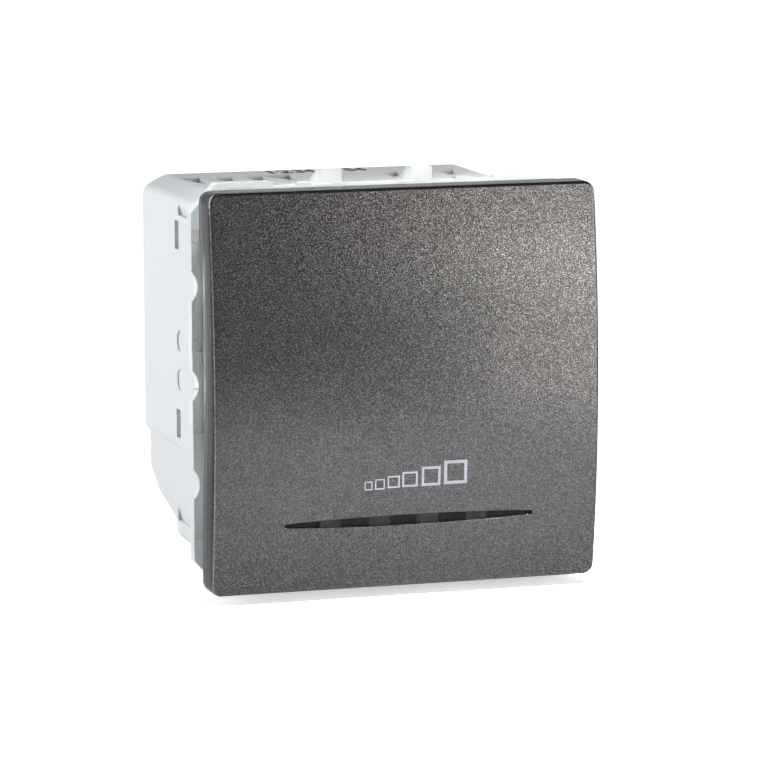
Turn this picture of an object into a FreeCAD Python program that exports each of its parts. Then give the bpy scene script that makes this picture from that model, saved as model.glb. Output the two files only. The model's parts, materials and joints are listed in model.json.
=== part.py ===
import FreeCAD, Part
import math
import os

from FreeCAD import Vector

# Pushbutton dimmer switch, a 45 x 45 mm module that clips into a wall frame.
# Millimetres. X is to the right seen from the front, Y goes into the wall, Z is up.
# The origin is the centre of the seat plane, where the flange rests on the wall frame.

# Whole module
FACE = 44.8  # side of the square key, and width of the flange
FACE_TO_SEAT = 8.9  # from the plane of the key's edges back to the seat plane
BODY_DEPTH = 28.5  # from the seat plane back to the rear face
BODY_WIDTH = 41.0
BODY_HEIGHT = 41.8
RUN = 0.05  # radial clearance of a pin or shank that turns or slides in its hole
PLAY = 0.3  # clearance between pieces that pass each other

# Key
KEY_BULGE = 1.75  # how far the middle of the face stands in front of its edges
KEY_CORNER = 1.2
KEY_EDGE = 0.35  # rounding round the face
KEY_FACE = 1.6  # wall thickness of the face
KEY_WALL = 1.0  # wall thickness of the skirt
EAR_DEPTH = 3.8  # skirt depth beside the hinge
WAIST_DEPTH = 1.75  # skirt depth below the ears
FOOT_DEPTH = 3.7  # skirt depth at the bottom
EAR_LOW = 16.8  # height where the ears end
WAIST_HIGH = 15.0  # height where the shallow skirt starts
WAIST_LOW = 1.0  # height where the skirt starts to deepen again
CALF_Z = -10.7  # height half way down the lower skirt
CALF_DEPTH = 2.95
EAR_BLEND = 1.4
RIB_THICK = 0.8
RIB_HEIGHT = 1.1
RIB_X = 8.0
RIB_TOP = 14.0
RIB_BOTTOM = -11.8

# Light slot in the key
SLOT_Z = -14.67
SLOT_LENGTH = 28.9
SLOT_HEIGHT = 1.12
WINDOW_MARGIN = 1.1
WINDOW_THICK = 1.2
WINDOW_SEAT = 0.3  # how far the window's seat lies in front of the key's edge plane, as depth
TOOTH_COUNT = 4
TOOTH_PITCH = 5.66
TOOTH_WIDTH = 2.5
TOOTH_HEIGHT = 0.56
TOOTH_FIRST = -8.8
TOOTH_RECESS = 0.35  # how far the teeth stay behind the face

# Hinge of the key
HINGE_Z = 18.0
HINGE_DEPTH = 4.0  # axis behind the key's edge plane
PIN_R = 1.0
PIN_LENGTH = 1.7
LUG_X = 14.0  # inner side of the key's hinge lug
LUG_THICK = 1.6
LUG_R = 1.5
BEARING_THICK = 1.5
BEARING_R = 2.0

# Retaining hooks at the bottom of the key
HOOK_X = 15.5
HOOK_WIDTH = 2.6
HOOK_Z = -18.0
HOOK_THICK = 1.1
HOOK_REACH = 0.8
HOOK_LENGTH = 1.2

# Switch drive
PLUNGER_Z = -9.5
SWITCH_TRAVEL = 0.6
STEM_R = 1.5
HEAD_R = 3.0
HEAD_THICK = 1.0
HEAD_DEPTH = 1.9  # front of the plunger's head behind the key's edge plane
BOSS_R = 2.0
WIRE_R = 0.2
COIL_R = 2.4
COIL_TURNS = 3

# Front frame
FLANGE_THICK = 1.7
FLANGE_TOP = 22.3
FLANGE_CUT = 2.7  # 45 degree cut at the flange's corners
STOP_TOP = 22.8
STOP_IN = 12.9
STOP_OUT = 19.5
STOP_ROUND = 0.7
RIM_WIDTH = 42.4
RIM_THICK = 1.0
RIM_CORNER = 0.8
RIM_DEPTH = 3.2  # front of the rim behind the key's edge plane
DECK_THICK = 1.5
MOUTH_WALL = 3.9  # flange material inside the flange's outer edge
SCALLOP_COUNT = 3
SCALLOP_PITCH = 11.15
SCALLOP_MID = 0.2
SCALLOP_R = 2.4
SCALLOP_DEEP = 0.7
MARK_R = 0.8
MARK_DEEP = 0.15
MARK_HEIGHTS = (17.0, 4.8, -4.5, -16.5)
EDGE_CUT = 0.35
EDGE_CUT_TOP = 13.7
EDGE_CUT_BOTTOM = -4.9
NUB_X = 9.3
NUB_WIDTH = 1.8
NUB_THICK = 1.3
NUB_TOP = 22.6

# Snap hooks that hold the module in the wall frame
CLIP_X = 5.35
CLIP_WIDTH = 2.45
CLIP_GAP = 1.3  # wall frame thickness between the flange and the clip
CLIP_TOP = 23.6
CLIP_ARM = 0.8
CLIP_LENGTH = 6.0
CLIP_CREST = 1.6  # length of the hook's ramp
CLIP_SLOPE = 1.0  # width of the sloping side
CLIP_RELIEF = 0.9  # depth of the hollow in the housing that the arm springs into

# Arms that hold the frame in the housing
ARM_DROP = 5.35  # middle of the upper arms below the housing's top
ARM_RISE = 2.65  # middle of the lower arms above the step in the rear face
ARM_WIDTH = 2.8
ARM_THICK = 1.0
SLIT_START = 11.5
SLIT_LENGTH = 1.8
SLIT_HEIGHT = 3.3
CATCH_REACH = 0.7

# Posts and circuit board
BOARD_FRONT = 5.0
BOARD_THICK = 1.6
BOARD_SIDE_GAP = 1.7  # from the board's side edge to the housing's wall
BOARD_END_GAP = 1.6
BOARD_CUT = 2.0
SWITCH_WIDTH = 7.0
SWITCH_TOP = 0.4  # front of the button
SWITCH_RISE = 1.4  # how far the button stands out of the switch
SWITCH_FLOOR = 1.0
BUTTON_R = 1.7
POST_INSET_X = 2.8  # from the board's edge to the middle of a post
POST_INSET_Z = 3.8
POST_R = 2.0
SCREW_SHANK_R = 0.9
SCREW_HEAD_R = 1.7
SCREW_HEAD = 1.2
SCREW_LENGTH = 6.5

# Housing
WALL = 1.5
REAR_WALL = 1.8
CORNER_CUT_X = 2.8
CORNER_CUT_Z = 1.4
CORNER_BLEND = 1.5
STEP_RISE = 12.0  # where the rear face steps forward, above the housing's bottom
STEP_DEEP = 2.4
BAND_RISE = 7.7  # bottom of the lower rear band
SLOPE_RUN = 4.7  # from the band's face forward to the end of the slope
SLOPE_RISE = 5.15
LEVEL_RUN = 8.4
LEVEL_RISE = 4.4
SHELF_RUN = 12.6
SHELF_RISE = 3.3
SHELF_DROP = 1.2
FOOT_RUN = 14.1
BLOCK_START = 7.2  # front end of the terminal block
FLOOR_RISE = 7.1  # top of the terminal block's floor
FLOOR_LEAD = 1.5  # how far the floor's hollow starts in front of the shelf

# Openings in the top and side walls
VENT_LENGTH = 5.0
VENT_WIDTH = 1.0
VENT_BACK = 11.9  # from the slits' front ends back to the rear face
VENT_PLACES = (-12.5, -8.8, 7.6, 14.5)
WINDOW_LENGTH = 7.0
WINDOW_WIDTH = 2.2
WINDOW_LEAD = 1.2  # how far the windows start in front of the slits
WINDOW_PLACES = (-16.3, -5.4)
WINDOW_RAMPS = (1.3, 2.2)  # reach of the shallow ramp to the left of each window
RECESS_DEEP = 0.6
RECESS_SIDE = 1.0  # how much wider the shallow recess is than its slit
POCKET_DEEP = 0.45  # at its lower edge, sloping out to nothing at its upper edge
HIGH_POCKET = (6.1, 11.6, 1.6, 3.0)  # from y, to y, and from and to below the housing's top
LOW_POCKET = (6.6, 13.0, 3.3, 4.9)  # the same, above its bottom
PIN_MARK_R = 1.2  # round marks of the ejector pins on the side walls
PIN_MARK_DEEP = 0.12
PIN_MARK_BACK = 17.0  # from their middles back to the rear face
PIN_MARK_HEIGHTS = (3.4, -1.1)

# Terminals
TERMINAL_COUNT = 3
TERMINAL_PITCH = 11.0
SCREW_RISE = 3.9  # screws above the step in the rear face
CONDUCTOR_RUN = 10.1  # from the band's face forward to the wires
CONDUCTOR_R = 1.0
ENTRY_R = 1.6
ENTRY_LENGTH = 2.8
SINK_R = 2.2
STRIP_THICK = 0.8
STRIP_WIDTH = 3.6
STRIP_RISE = 6.0  # top of the strips above the screws
STRIP_DROP = 4.5
CAGE_WIDTH = 6.2
CAGE_WALL = 1.0
CAGE_NUT = 1.6  # thickness of the cage's threaded wall
CAGE_HEIGHT = 5.2
CAGE_TRAVEL = 2.0
CAGE_LEFT = 0.6  # space left between cage and strip when the cage is drawn up
TERMINAL_SHANK_R = 1.5
TERMINAL_HEAD_R = 2.2
TERMINAL_HEAD = 1.8
DRIVE_SLOT = 0.7
DRIVE_DEEP = 0.9
DRIVER_R = 1.75
PARTITION = 1.0
PARTITION_FRONT = 3.0  # how far the partitions reach in front of the strips' front face

# Heat plate and transistor
PLATE_THICK = 1.5
PLATE_FRONT = 9.0
PLATE_FOLD = 3.0
PLATE_GAP = 0.7  # above the plate
LEDGE = 1.3
LEDGE_LENGTH = 11.2
CHIP_WIDTH = 10.0
CHIP_THICK = 4.4
CHIP_LENGTH = 8.6
TAB_THICK = 1.3
TAB_LENGTH = 4.6
TRANSISTOR_INSET = 10.0  # from the housing's wall to the middle of the transistor
TAB_GAP = 0.4  # between the tab and the plate's fold
RIVET_R = 1.4
RIVET_HEAD_R = 2.2
RIVET_HEAD = 0.4
LEAD_WIDTH = 0.8
LEAD_THICK = 0.5
LEAD_PITCH = 2.54
LEAD_DROP = 3.0  # leads below the plate

# Parts on the circuit board, with the place of their middle
CONTROLLER_X = 7.5
CONTROLLER_Z = 2.0
CONTROLLER_WIDTH = 5.0
CONTROLLER_HEIGHT = 4.0
CONTROLLER_THICK = 1.5
CONTROLLER_LEADS = 4
FOOT_LENGTH = 0.8
FOOT_WIDTH = 0.45
FOOT_THICK = 0.3
FOOT_PITCH = 0.9
RESISTOR_COUNT = 5
RESISTOR_X = -12.0
RESISTOR_Z = 3.0
RESISTOR_PITCH = 2.6
RESISTOR_WIDTH = 1.25
RESISTOR_HEIGHT = 2.0
RESISTOR_THICK = 0.5
LED_WIDTH = 3.2
LED_HEIGHT = 1.6
LED_THICK = 0.8
CHOKE_X = -9.0
CHOKE_GAP = 0.8
CHOKE_HOLE = 0.54  # hole of the core as a share of its width
CHOKE_THICK = 3.0
CHOKE_OPEN = 2.4
WINDING = 0.8
FILM_X = 4.5
FILM_WIDTH = 10.0
FILM_HEIGHT = 3.6
FILM_DEEP = 10.0
BULK_X = 4.0
BULK_R = 3.4
BULK_DEEP = 11.0
BULK_GROOVE = 0.35
FUSE_GAP = 0.4  # above the terminal block's floor
FUSE_R = 2.2
FUSE_LENGTH = 12.0
FUSE_CAP = 2.5
FUSE_CAP_WALL = 0.2
VARISTOR_INSET = 2.5
VARISTOR_Z = 7.5
VARISTOR_R = 4.0
VARISTOR_THICK = 3.2
VARISTOR_LEAD_R = 0.35
VARISTOR_LEAD_PITCH = 3.0

# Places worked out from the sizes above
HALF = FACE / 2
EDGE_Y = -FACE_TO_SEAT
FACE_R = (HALF**2 + KEY_BULGE**2) / (2 * KEY_BULGE)
FACE_AXIS_Y = EDGE_Y - KEY_BULGE + FACE_R
FAR_FRONT = EDGE_Y - KEY_BULGE - 1.0
HINGE_Y = EDGE_Y + HINGE_DEPTH
DECK_REAR = -FLANGE_THICK
DECK_FRONT = DECK_REAR - DECK_THICK
RIM_FRONT = EDGE_Y + RIM_DEPTH
HEAD_FRONT = EDGE_Y + HEAD_DEPTH
HEAD_REAR = HEAD_FRONT + HEAD_THICK
BODY_X = BODY_WIDTH / 2
BODY_Z = BODY_HEIGHT / 2
INNER_X = BODY_X - WALL
INNER_Z = BODY_Z - WALL
INNER_Y = BODY_DEPTH - REAR_WALL
BAND_Y = BODY_DEPTH - STEP_DEEP
STEP_Z = STEP_RISE - BODY_Z
BAND_Z = BAND_RISE - BODY_Z
SLOPE_Y = BAND_Y - SLOPE_RUN
SLOPE_Z = SLOPE_RISE - BODY_Z
LEVEL_Y = BAND_Y - LEVEL_RUN
LEVEL_Z = LEVEL_RISE - BODY_Z
SHELF_Y = BAND_Y - SHELF_RUN
SHELF_Z = SHELF_RISE - BODY_Z
FOOT_Y = BAND_Y - FOOT_RUN
FLOOR_Z = FLOOR_RISE - BODY_Z
FLOOR_START = SHELF_Y - FLOOR_LEAD
VENT_START = BODY_DEPTH - VENT_BACK
WINDOW_START = VENT_START - WINDOW_LEAD
PIN_MARK_Y = BODY_DEPTH - PIN_MARK_BACK
ARM_HEIGHTS = (BODY_Z - ARM_DROP, STEP_Z + ARM_RISE)
BOARD_REAR = BOARD_FRONT + BOARD_THICK
BOARD_X = INNER_X - BOARD_SIDE_GAP
BOARD_Z = INNER_Z - BOARD_END_GAP
POST_X = BOARD_X - POST_INSET_X
POST_Z = BOARD_Z - POST_INSET_Z
SCREW_Z = STEP_Z + SCREW_RISE
STRIP_TOP = SCREW_Z + STRIP_RISE
STRIP_BOTTOM = SCREW_Z - STRIP_DROP
CONDUCTOR_Y = BAND_Y - CONDUCTOR_RUN
STRIP_FRONT = CONDUCTOR_Y + CONDUCTOR_R
STRIP_REAR = STRIP_FRONT + STRIP_THICK
SINK_TOP = FLOOR_Z - ENTRY_LENGTH
CAGE_OPEN = CAGE_TRAVEL + CAGE_LEFT
PLATE_Z = INNER_Z - PLATE_GAP - PLATE_THICK
LEDGE_START = INNER_Y - LEDGE_LENGTH
TRANSISTOR_X = TRANSISTOR_INSET - INNER_X
TRANSISTOR_Y = INNER_Y - PLAY - PLATE_THICK - TAB_GAP - TAB_LENGTH - CHIP_LENGTH / 2
CHOKE_ROOM = PLATE_Z - LEAD_DROP - STRIP_TOP
CHOKE_Z = STRIP_TOP + CHOKE_ROOM / 2
CHOKE_OUT = CHOKE_ROOM / 2 - CHOKE_GAP - WINDING
CHOKE_IN = CHOKE_OUT * CHOKE_HOLE
FILM_Z = STRIP_TOP + 0.8 + FILM_HEIGHT / 2
BULK_Z = PLATE_Z - 0.5 - BULK_R
FUSE_Z = FLOOR_Z + FUSE_GAP + FUSE_CAP_WALL + FUSE_R
VARISTOR_X = BOARD_X - VARISTOR_INSET
RIVET_Y = TRANSISTOR_Y + (CHIP_LENGTH + TAB_LENGTH) / 2
PIPE_X = TOOTH_FIRST + (TOOTH_COUNT - 1) * TOOTH_PITCH / 2
PIPE_HALF_X = ((TOOTH_COUNT - 1) * TOOTH_PITCH + TOOTH_WIDTH) / 2
PIPE_HALF_Z = SLOT_HEIGHT / 2 + PLAY


def box(x0, x1, y0, y1, z0, z1):
    """Box between two opposite corners."""
    return Part.makeBox(x1 - x0, y1 - y0, z1 - z0, Vector(x0, y0, z0))


def rod_x(radius, x0, x1, y, z):
    """Round bar along X."""
    return Part.makeCylinder(radius, x1 - x0, Vector(x0, y, z), Vector(1, 0, 0))


def rod_y(radius, y0, y1, x, z):
    """Round bar along Y."""
    return Part.makeCylinder(radius, y1 - y0, Vector(x, y0, z), Vector(0, 1, 0))


def rod_z(radius, z0, z1, x, y):
    """Round bar along Z."""
    return Part.makeCylinder(radius, z1 - z0, Vector(x, y, z0), Vector(0, 0, 1))


def side_point(x):
    """Places an outline of (y, z) corners in the plane at x."""
    return lambda a, b: Vector(x, a, b)


def front_point(y):
    """Places an outline of (x, z) corners in the plane at y."""
    return lambda a, b: Vector(a, y, b)


def rounded_wire(corners, place):
    """Closed wire through (a, b, radius) corners, each rounded by an arc of its radius."""
    points = [place(a, b) for a, b, radius in corners]
    count = len(points)
    starts = []
    middles = []
    ends = []
    for i, (a, b, radius) in enumerate(corners):
        before = (points[i - 1] - points[i]).normalize()
        after = (points[(i + 1) % count] - points[i]).normalize()
        half_angle = before.getAngle(after) / 2
        run = radius / math.tan(half_angle)
        starts.append(points[i] + before * run)
        ends.append(points[i] + after * run)
        inward = (before + after).normalize() if radius else Vector()
        middles.append(points[i] + inward * (radius / math.sin(half_angle) - radius))
    edges = []
    for i in range(count):
        if corners[i][2]:
            edges.append(Part.Arc(starts[i], middles[i], ends[i]).toShape())
        following = starts[(i + 1) % count]
        if ends[i].distanceToPoint(following) > 1e-6:
            edges.append(Part.LineSegment(ends[i], following).toShape())
    return Part.Wire(edges)


def side_prism(corners, x0, x1):
    """Solid with a (y, z) outline that runs along X."""
    return Part.Face(rounded_wire(corners, side_point(x0))).extrude(Vector(x1 - x0, 0, 0))


def front_prism(corners, y0, y1):
    """Solid with an (x, z) outline that runs along Y."""
    return Part.Face(rounded_wire(corners, front_point(y0))).extrude(Vector(0, y1 - y0, 0))


def square_outline(half_x, half_z, radius):
    """Corners of a rounded rectangle about the middle."""
    corners = [(half_x, half_z), (-half_x, half_z), (-half_x, -half_z), (half_x, -half_z)]
    return [(x, z, radius) for x, z in corners]


def mirrored(shape, across):
    """Copy of a shape on the other side of the middle plane square to the given direction."""
    return shape.mirror(Vector(), across)


def both_sides(shape):
    """A shape with its copy on the other side, left to right."""
    return [shape, mirrored(shape, Vector(1, 0, 0))]


def face_y(z, depth=0.0):
    """Place of the key's curved face at a height, or of the surface some depth under it."""
    return FACE_AXIS_Y - math.sqrt((FACE_R - depth) ** 2 - z**2)


def face_cylinder(depth):
    """Space behind the key's curved face, some depth under it."""
    return rod_x(FACE_R - depth, -FACE, FACE, FACE_AXIS_Y, 0)


def terminal_places():
    """X of each terminal, left to right."""
    middle = (TERMINAL_COUNT - 1) / 2
    return [(i - middle) * TERMINAL_PITCH for i in range(TERMINAL_COUNT)]


def key_blank():
    """Outer form of the key: curved face, rounded edges, and a skirt deep at the ears and the foot."""
    side = [
        (FAR_FRONT, HALF, 0),
        (EDGE_Y + EAR_DEPTH, HALF, 0),
        (EDGE_Y + EAR_DEPTH, EAR_LOW, EAR_BLEND),
        (EDGE_Y + WAIST_DEPTH, WAIST_HIGH, EAR_BLEND),
        (EDGE_Y + WAIST_DEPTH, WAIST_LOW, EAR_BLEND),
        (EDGE_Y + CALF_DEPTH, CALF_Z, EAR_BLEND),
        (EDGE_Y + FOOT_DEPTH, -HALF, 0),
        (FAR_FRONT, -HALF, 0),
    ]
    blank = side_prism(side, -HALF, HALF)
    blank = blank.common(front_prism(square_outline(HALF, HALF, KEY_CORNER), FAR_FRONT, 0))
    blank = blank.common(face_cylinder(0))
    rim_edges = [edge for edge in blank.Edges if lies_on_face(edge)]
    return blank.makeFillet(KEY_EDGE, rim_edges)


def lies_on_face(edge):
    """Whether an edge lies on the key's curved face all along."""
    points = edge.discretize(5)
    return all(abs(math.hypot(p.y - FACE_AXIS_Y, p.z) - FACE_R) < 1e-3 for p in points)


def slot_cutter():
    """Lens-shaped opening: two arcs that meet at its ends."""
    left = Vector(-SLOT_LENGTH / 2, FAR_FRONT, SLOT_Z)
    right = Vector(SLOT_LENGTH / 2, FAR_FRONT, SLOT_Z)
    top = Vector(0, FAR_FRONT, SLOT_Z + SLOT_HEIGHT / 2)
    bottom = Vector(0, FAR_FRONT, SLOT_Z - SLOT_HEIGHT / 2)
    wire = Part.Wire([Part.Arc(left, top, right).toShape(), Part.Arc(right, bottom, left).toShape()])
    return Part.Face(wire).extrude(Vector(0, EDGE_Y + WINDOW_SEAT - FAR_FRONT, 0))


def hinge_lug():
    """Right hinge lug inside the key, with the pin that turns in the frame."""
    side = [
        (FAR_FRONT, HINGE_Z + LUG_R, 0),
        (HINGE_Y + LUG_R, HINGE_Z + LUG_R, LUG_R * 0.99),
        (HINGE_Y + LUG_R, HINGE_Z - LUG_R, LUG_R * 0.99),
        (FAR_FRONT, HINGE_Z - LUG_R, 0),
    ]
    lug = side_prism(side, LUG_X, LUG_X + LUG_THICK)
    pin = rod_x(PIN_R, LUG_X, LUG_X + LUG_THICK + PIN_LENGTH, HINGE_Y, HINGE_Z)
    return lug.fuse(pin)


def retaining_hook():
    """Right hook at the bottom of the key, which catches behind the deck."""
    x0 = HOOK_X - HOOK_WIDTH / 2
    catch = DECK_REAR + PLAY / 3
    side = [
        (FAR_FRONT, HOOK_Z, 0),
        (catch, HOOK_Z, 0),
        (catch, HOOK_Z + HOOK_REACH, 0.2),
        (catch + HOOK_LENGTH, HOOK_Z, 0),
        (catch + HOOK_LENGTH, HOOK_Z - HOOK_THICK, 0.2),
        (FAR_FRONT, HOOK_Z - HOOK_THICK, 0),
    ]
    return side_prism(side, x0, x0 + HOOK_WIDTH)


def key_cover():
    """Front key: shell, light slot, ribs, hinge lugs, hooks and the boss that pushes the plunger."""
    inner_half = HALF - KEY_WALL
    hollow = front_prism(square_outline(inner_half, inner_half, KEY_CORNER / 2), FAR_FRONT, 0)
    key = key_blank().cut(hollow.common(face_cylinder(KEY_FACE)))
    ribs = [box(RIB_X, RIB_X + RIB_THICK, FAR_FRONT, face_y(0, KEY_FACE) + RIB_HEIGHT, RIB_BOTTOM, RIB_TOP)]
    boss = rod_y(BOSS_R, FAR_FRONT, HEAD_FRONT - RUN, 0, PLUNGER_Z)
    inside = [boss]
    for piece in ribs + [hinge_lug(), retaining_hook()]:
        inside.extend(both_sides(piece))
    key = key.multiFuse([piece.common(face_cylinder(KEY_FACE / 2)) for piece in inside])
    return key.removeSplitter().cut(slot_cutter()).cut(window_seat())


def window_seat():
    """Flat pocket inside the key where the window is fixed."""
    half_x = SLOT_LENGTH / 2 + WINDOW_MARGIN
    half_z = SLOT_HEIGHT / 2 + WINDOW_MARGIN
    seat = EDGE_Y + WINDOW_SEAT
    return box(-half_x, half_x, seat, seat + WINDOW_THICK, SLOT_Z - half_z, SLOT_Z + half_z)


def slot_window():
    """Smoky window behind the slot, with a row of blocks that stand in the slot."""
    seat = EDGE_Y + WINDOW_SEAT
    front = face_y(SLOT_Z) + TOOTH_RECESS
    teeth = []
    for i in range(TOOTH_COUNT):
        middle = TOOTH_FIRST + i * TOOTH_PITCH
        low = SLOT_Z - TOOTH_HEIGHT / 2
        left = middle - TOOTH_WIDTH / 2
        teeth.append(box(left, left + TOOTH_WIDTH, front, seat, low, low + TOOTH_HEIGHT))
    return window_seat().multiFuse(teeth).removeSplitter()


def flange_outline():
    """Flange corners, anticlockwise from the right: cut corners, and a raised stop at each end of an edge."""
    side = FLANGE_TOP - FLANGE_CUT
    quarter = [
        (HALF, side, 0.4),
        (STOP_OUT, STOP_TOP, STOP_ROUND),
        (STOP_IN, STOP_TOP, STOP_ROUND * 0.6),
        (STOP_IN, FLANGE_TOP, 0),
    ]
    top = quarter + [(-x, z, r) for x, z, r in reversed(quarter)]
    return top + [(-x, -z, r) for x, z, r in top]


def snap_clip():
    """Top right clip: a sprung arm on the flange with a hook that catches behind the wall frame."""
    arm_top = FLANGE_TOP - PLAY
    x0 = CLIP_X - CLIP_WIDTH / 2
    x1 = CLIP_X + CLIP_WIDTH / 2
    side = [
        (0, arm_top - CLIP_ARM, 0),
        (CLIP_LENGTH, arm_top - CLIP_ARM, 0),
        (CLIP_LENGTH, arm_top, 0),
        (CLIP_GAP + CLIP_CREST, CLIP_TOP, 0.3),
        (CLIP_GAP, CLIP_TOP, 0.15),
        (CLIP_GAP, arm_top, 0),
        (0, arm_top, 0),
    ]
    slope = [(x0 - CLIP_SLOPE, arm_top - CLIP_ARM, 0), (x0, arm_top - CLIP_ARM, 0), (x0, CLIP_TOP - 0.4, 0)]
    return side_prism(side, x0, x1).fuse(front_prism(slope, CLIP_GAP, CLIP_GAP + CLIP_CREST))


def clip_relief():
    """Hollow in the housing under the top right clip, where its arm springs down."""
    half = CLIP_WIDTH / 2 + PLAY / 2
    left = CLIP_X - half - CLIP_SLOPE
    return box(left, CLIP_X + half, -1, CLIP_LENGTH + PLAY, BODY_Z - CLIP_RELIEF, BODY_Z + 1)


def at_clips(shape):
    """Copies of the top right clip's shape at all four clips."""
    top = [shape, shape.translated(Vector(-2 * CLIP_X, 0, 0))]
    return top + [mirrored(piece, Vector(0, 0, 1)) for piece in top]


def clip_arm(height):
    """Right arm at a height, with the catch that springs into the housing's side slit."""
    x1 = INNER_X - PLAY * 0.7
    x0 = x1 - ARM_THICK
    tip = SLIT_START + SLIT_LENGTH + 1.0
    z0 = height - ARM_WIDTH / 2
    top = [
        (x0, DECK_REAR),
        (x1, DECK_REAR),
        (x1, SLIT_START + PLAY),
        (INNER_X + CATCH_REACH, SLIT_START + PLAY),
        (x1, SLIT_START + SLIT_LENGTH - PLAY),
        (x1, tip),
        (x0, tip),
    ]
    points = [Vector(x, y, z0) for x, y in top]
    return Part.Face(Part.makePolygon(points + points[:1])).extrude(Vector(0, 0, ARM_WIDTH))


def hinge_bearing():
    """Right bearing ear on the deck, with the hole for the key's pin."""
    x0 = LUG_X + LUG_THICK + PLAY / 2
    side = [
        (DECK_FRONT, HINGE_Z + BEARING_R, 0),
        (HINGE_Y - BEARING_R, HINGE_Z + BEARING_R, BEARING_R * 0.99),
        (HINGE_Y - BEARING_R, HINGE_Z - BEARING_R, BEARING_R * 0.99),
        (DECK_FRONT, HINGE_Z - BEARING_R, 0),
    ]
    ear = side_prism(side, x0, x0 + BEARING_THICK)
    return ear.cut(rod_x(PIN_R + RUN, x0 - 1, x0 + BEARING_THICK + 1, HINGE_Y, HINGE_Z))


def light_duct(margin, y0, y1):
    """Straight stretch of the light pipe, or its hole in the deck with a margin."""
    half_x = PIPE_HALF_X + margin
    half_z = PIPE_HALF_Z + margin
    return box(PIPE_X - half_x, PIPE_X + half_x, y0, y1, SLOT_Z - half_z, SLOT_Z + half_z)


def front_frame():
    """Front frame: flange, rim, deck, hinge ears, posts, snap clips and arms."""
    mouth = HALF - MOUTH_WALL
    flange = front_prism(flange_outline(), DECK_REAR, 0)
    flange = flange.cut(front_prism(square_outline(mouth, mouth, 1.0), DECK_REAR, 0))
    rim_half = RIM_WIDTH / 2
    rim = front_prism(square_outline(rim_half, rim_half, RIM_CORNER), RIM_FRONT, DECK_REAR)
    inner = rim_half - RIM_THICK
    rim = rim.cut(front_prism(square_outline(inner, inner, RIM_CORNER / 2), RIM_FRONT, DECK_FRONT))
    added = [rim]
    added.extend(both_sides(hinge_bearing()))
    for height in ARM_HEIGHTS:
        added.extend(both_sides(clip_arm(height)))
    added.extend(at_clips(snap_clip()))
    nub_left = NUB_X - NUB_WIDTH / 2
    nub = box(nub_left, nub_left + NUB_WIDTH, DECK_REAR, DECK_REAR + NUB_THICK, FLANGE_TOP - 1, NUB_TOP)
    added.extend(both_sides(nub))
    for x in (POST_X, -POST_X):
        for z in (POST_Z, -POST_Z):
            added.append(rod_y(POST_R, DECK_REAR, BOARD_FRONT, x, z))
    frame = flange.multiFuse(added).removeSplitter()
    return frame.cut(Part.makeCompound(frame_cutters()))


def frame_cutters():
    """Holes and small cuts in the front frame."""
    cutters = [rod_y(STEM_R + RUN, DECK_FRONT - 1, 0, 0, PLUNGER_Z)]
    cutters.append(light_duct(0.1, DECK_FRONT - 1, DECK_REAR))
    hook_top = HOOK_Z + HOOK_REACH + PLAY
    hook_low = HOOK_Z - HOOK_THICK - PLAY
    hook_half = HOOK_WIDTH / 2 + PLAY
    hole = box(HOOK_X - hook_half, HOOK_X + hook_half, DECK_FRONT - 1, DECK_REAR, hook_low, HOOK_Z + PLAY)
    cutters.extend(both_sides(hole))
    relief = box(HOOK_X - hook_half, HOOK_X + hook_half, DECK_REAR, 0, hook_low, hook_top)
    cutters.extend(both_sides(relief))
    for x in (POST_X, -POST_X):
        start = BOARD_REAR - SCREW_LENGTH - PLAY
        cutters.append(rod_y(SCREW_SHANK_R + RUN, start, BOARD_FRONT, x, POST_Z))
    for i in range(SCALLOP_COUNT):
        z = SCALLOP_MID + (i - (SCALLOP_COUNT - 1) / 2) * SCALLOP_PITCH
        scallop = rod_y(SCALLOP_R, DECK_REAR - 1, 1, HALF + SCALLOP_R - SCALLOP_DEEP, z)
        cutters.extend(both_sides(scallop))
    for z in MARK_HEIGHTS:
        mark_x = (HALF + RIM_WIDTH / 2) / 2 - 0.1
        ring = rod_y(MARK_R, DECK_REAR, DECK_REAR + MARK_DEEP, mark_x, z)
        cutters.extend(both_sides(ring))
    corner = [Vector(HALF, -EDGE_CUT, 0), Vector(HALF, 0, 0), Vector(HALF - EDGE_CUT, 0, 0)]
    wedge = Part.Face(Part.makePolygon(corner + corner[:1]))
    wedge = wedge.extrude(Vector(0, 0, EDGE_CUT_TOP - EDGE_CUT_BOTTOM))
    cutters.extend(both_sides(wedge.translated(Vector(0, 0, EDGE_CUT_BOTTOM))))
    return cutters


def body_side():
    """Side outline of the housing and terminal block: flat top, and a lower rear that steps forward."""
    return [
        (0, BODY_Z, 0),
        (BODY_DEPTH, BODY_Z, 0.6),
        (BODY_DEPTH, STEP_Z, 0.9),
        (BAND_Y, STEP_Z - 0.2, 0),
        (BAND_Y, BAND_Z, 0.8),
        (SLOPE_Y, SLOPE_Z, 1.0),
        (LEVEL_Y, LEVEL_Z, 0.8),
        (SHELF_Y, SHELF_Z, 0.3),
        (SHELF_Y, SHELF_Z - SHELF_DROP, 0.4),
        (FOOT_Y, -BODY_Z, 0.8),
        (0, -BODY_Z, 0),
    ]


def body_front():
    """Front outline of the housing, with its four cut corners."""
    cut_x = BODY_X - CORNER_CUT_X
    cut_z = BODY_Z - CORNER_CUT_Z
    quarter = [(BODY_X, cut_z, CORNER_BLEND), (cut_x, BODY_Z, CORNER_BLEND)]
    top = quarter + [(-x, z, r) for x, z, r in reversed(quarter)]
    return top + [(-x, -z, r) for x, z, r in top]


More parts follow.
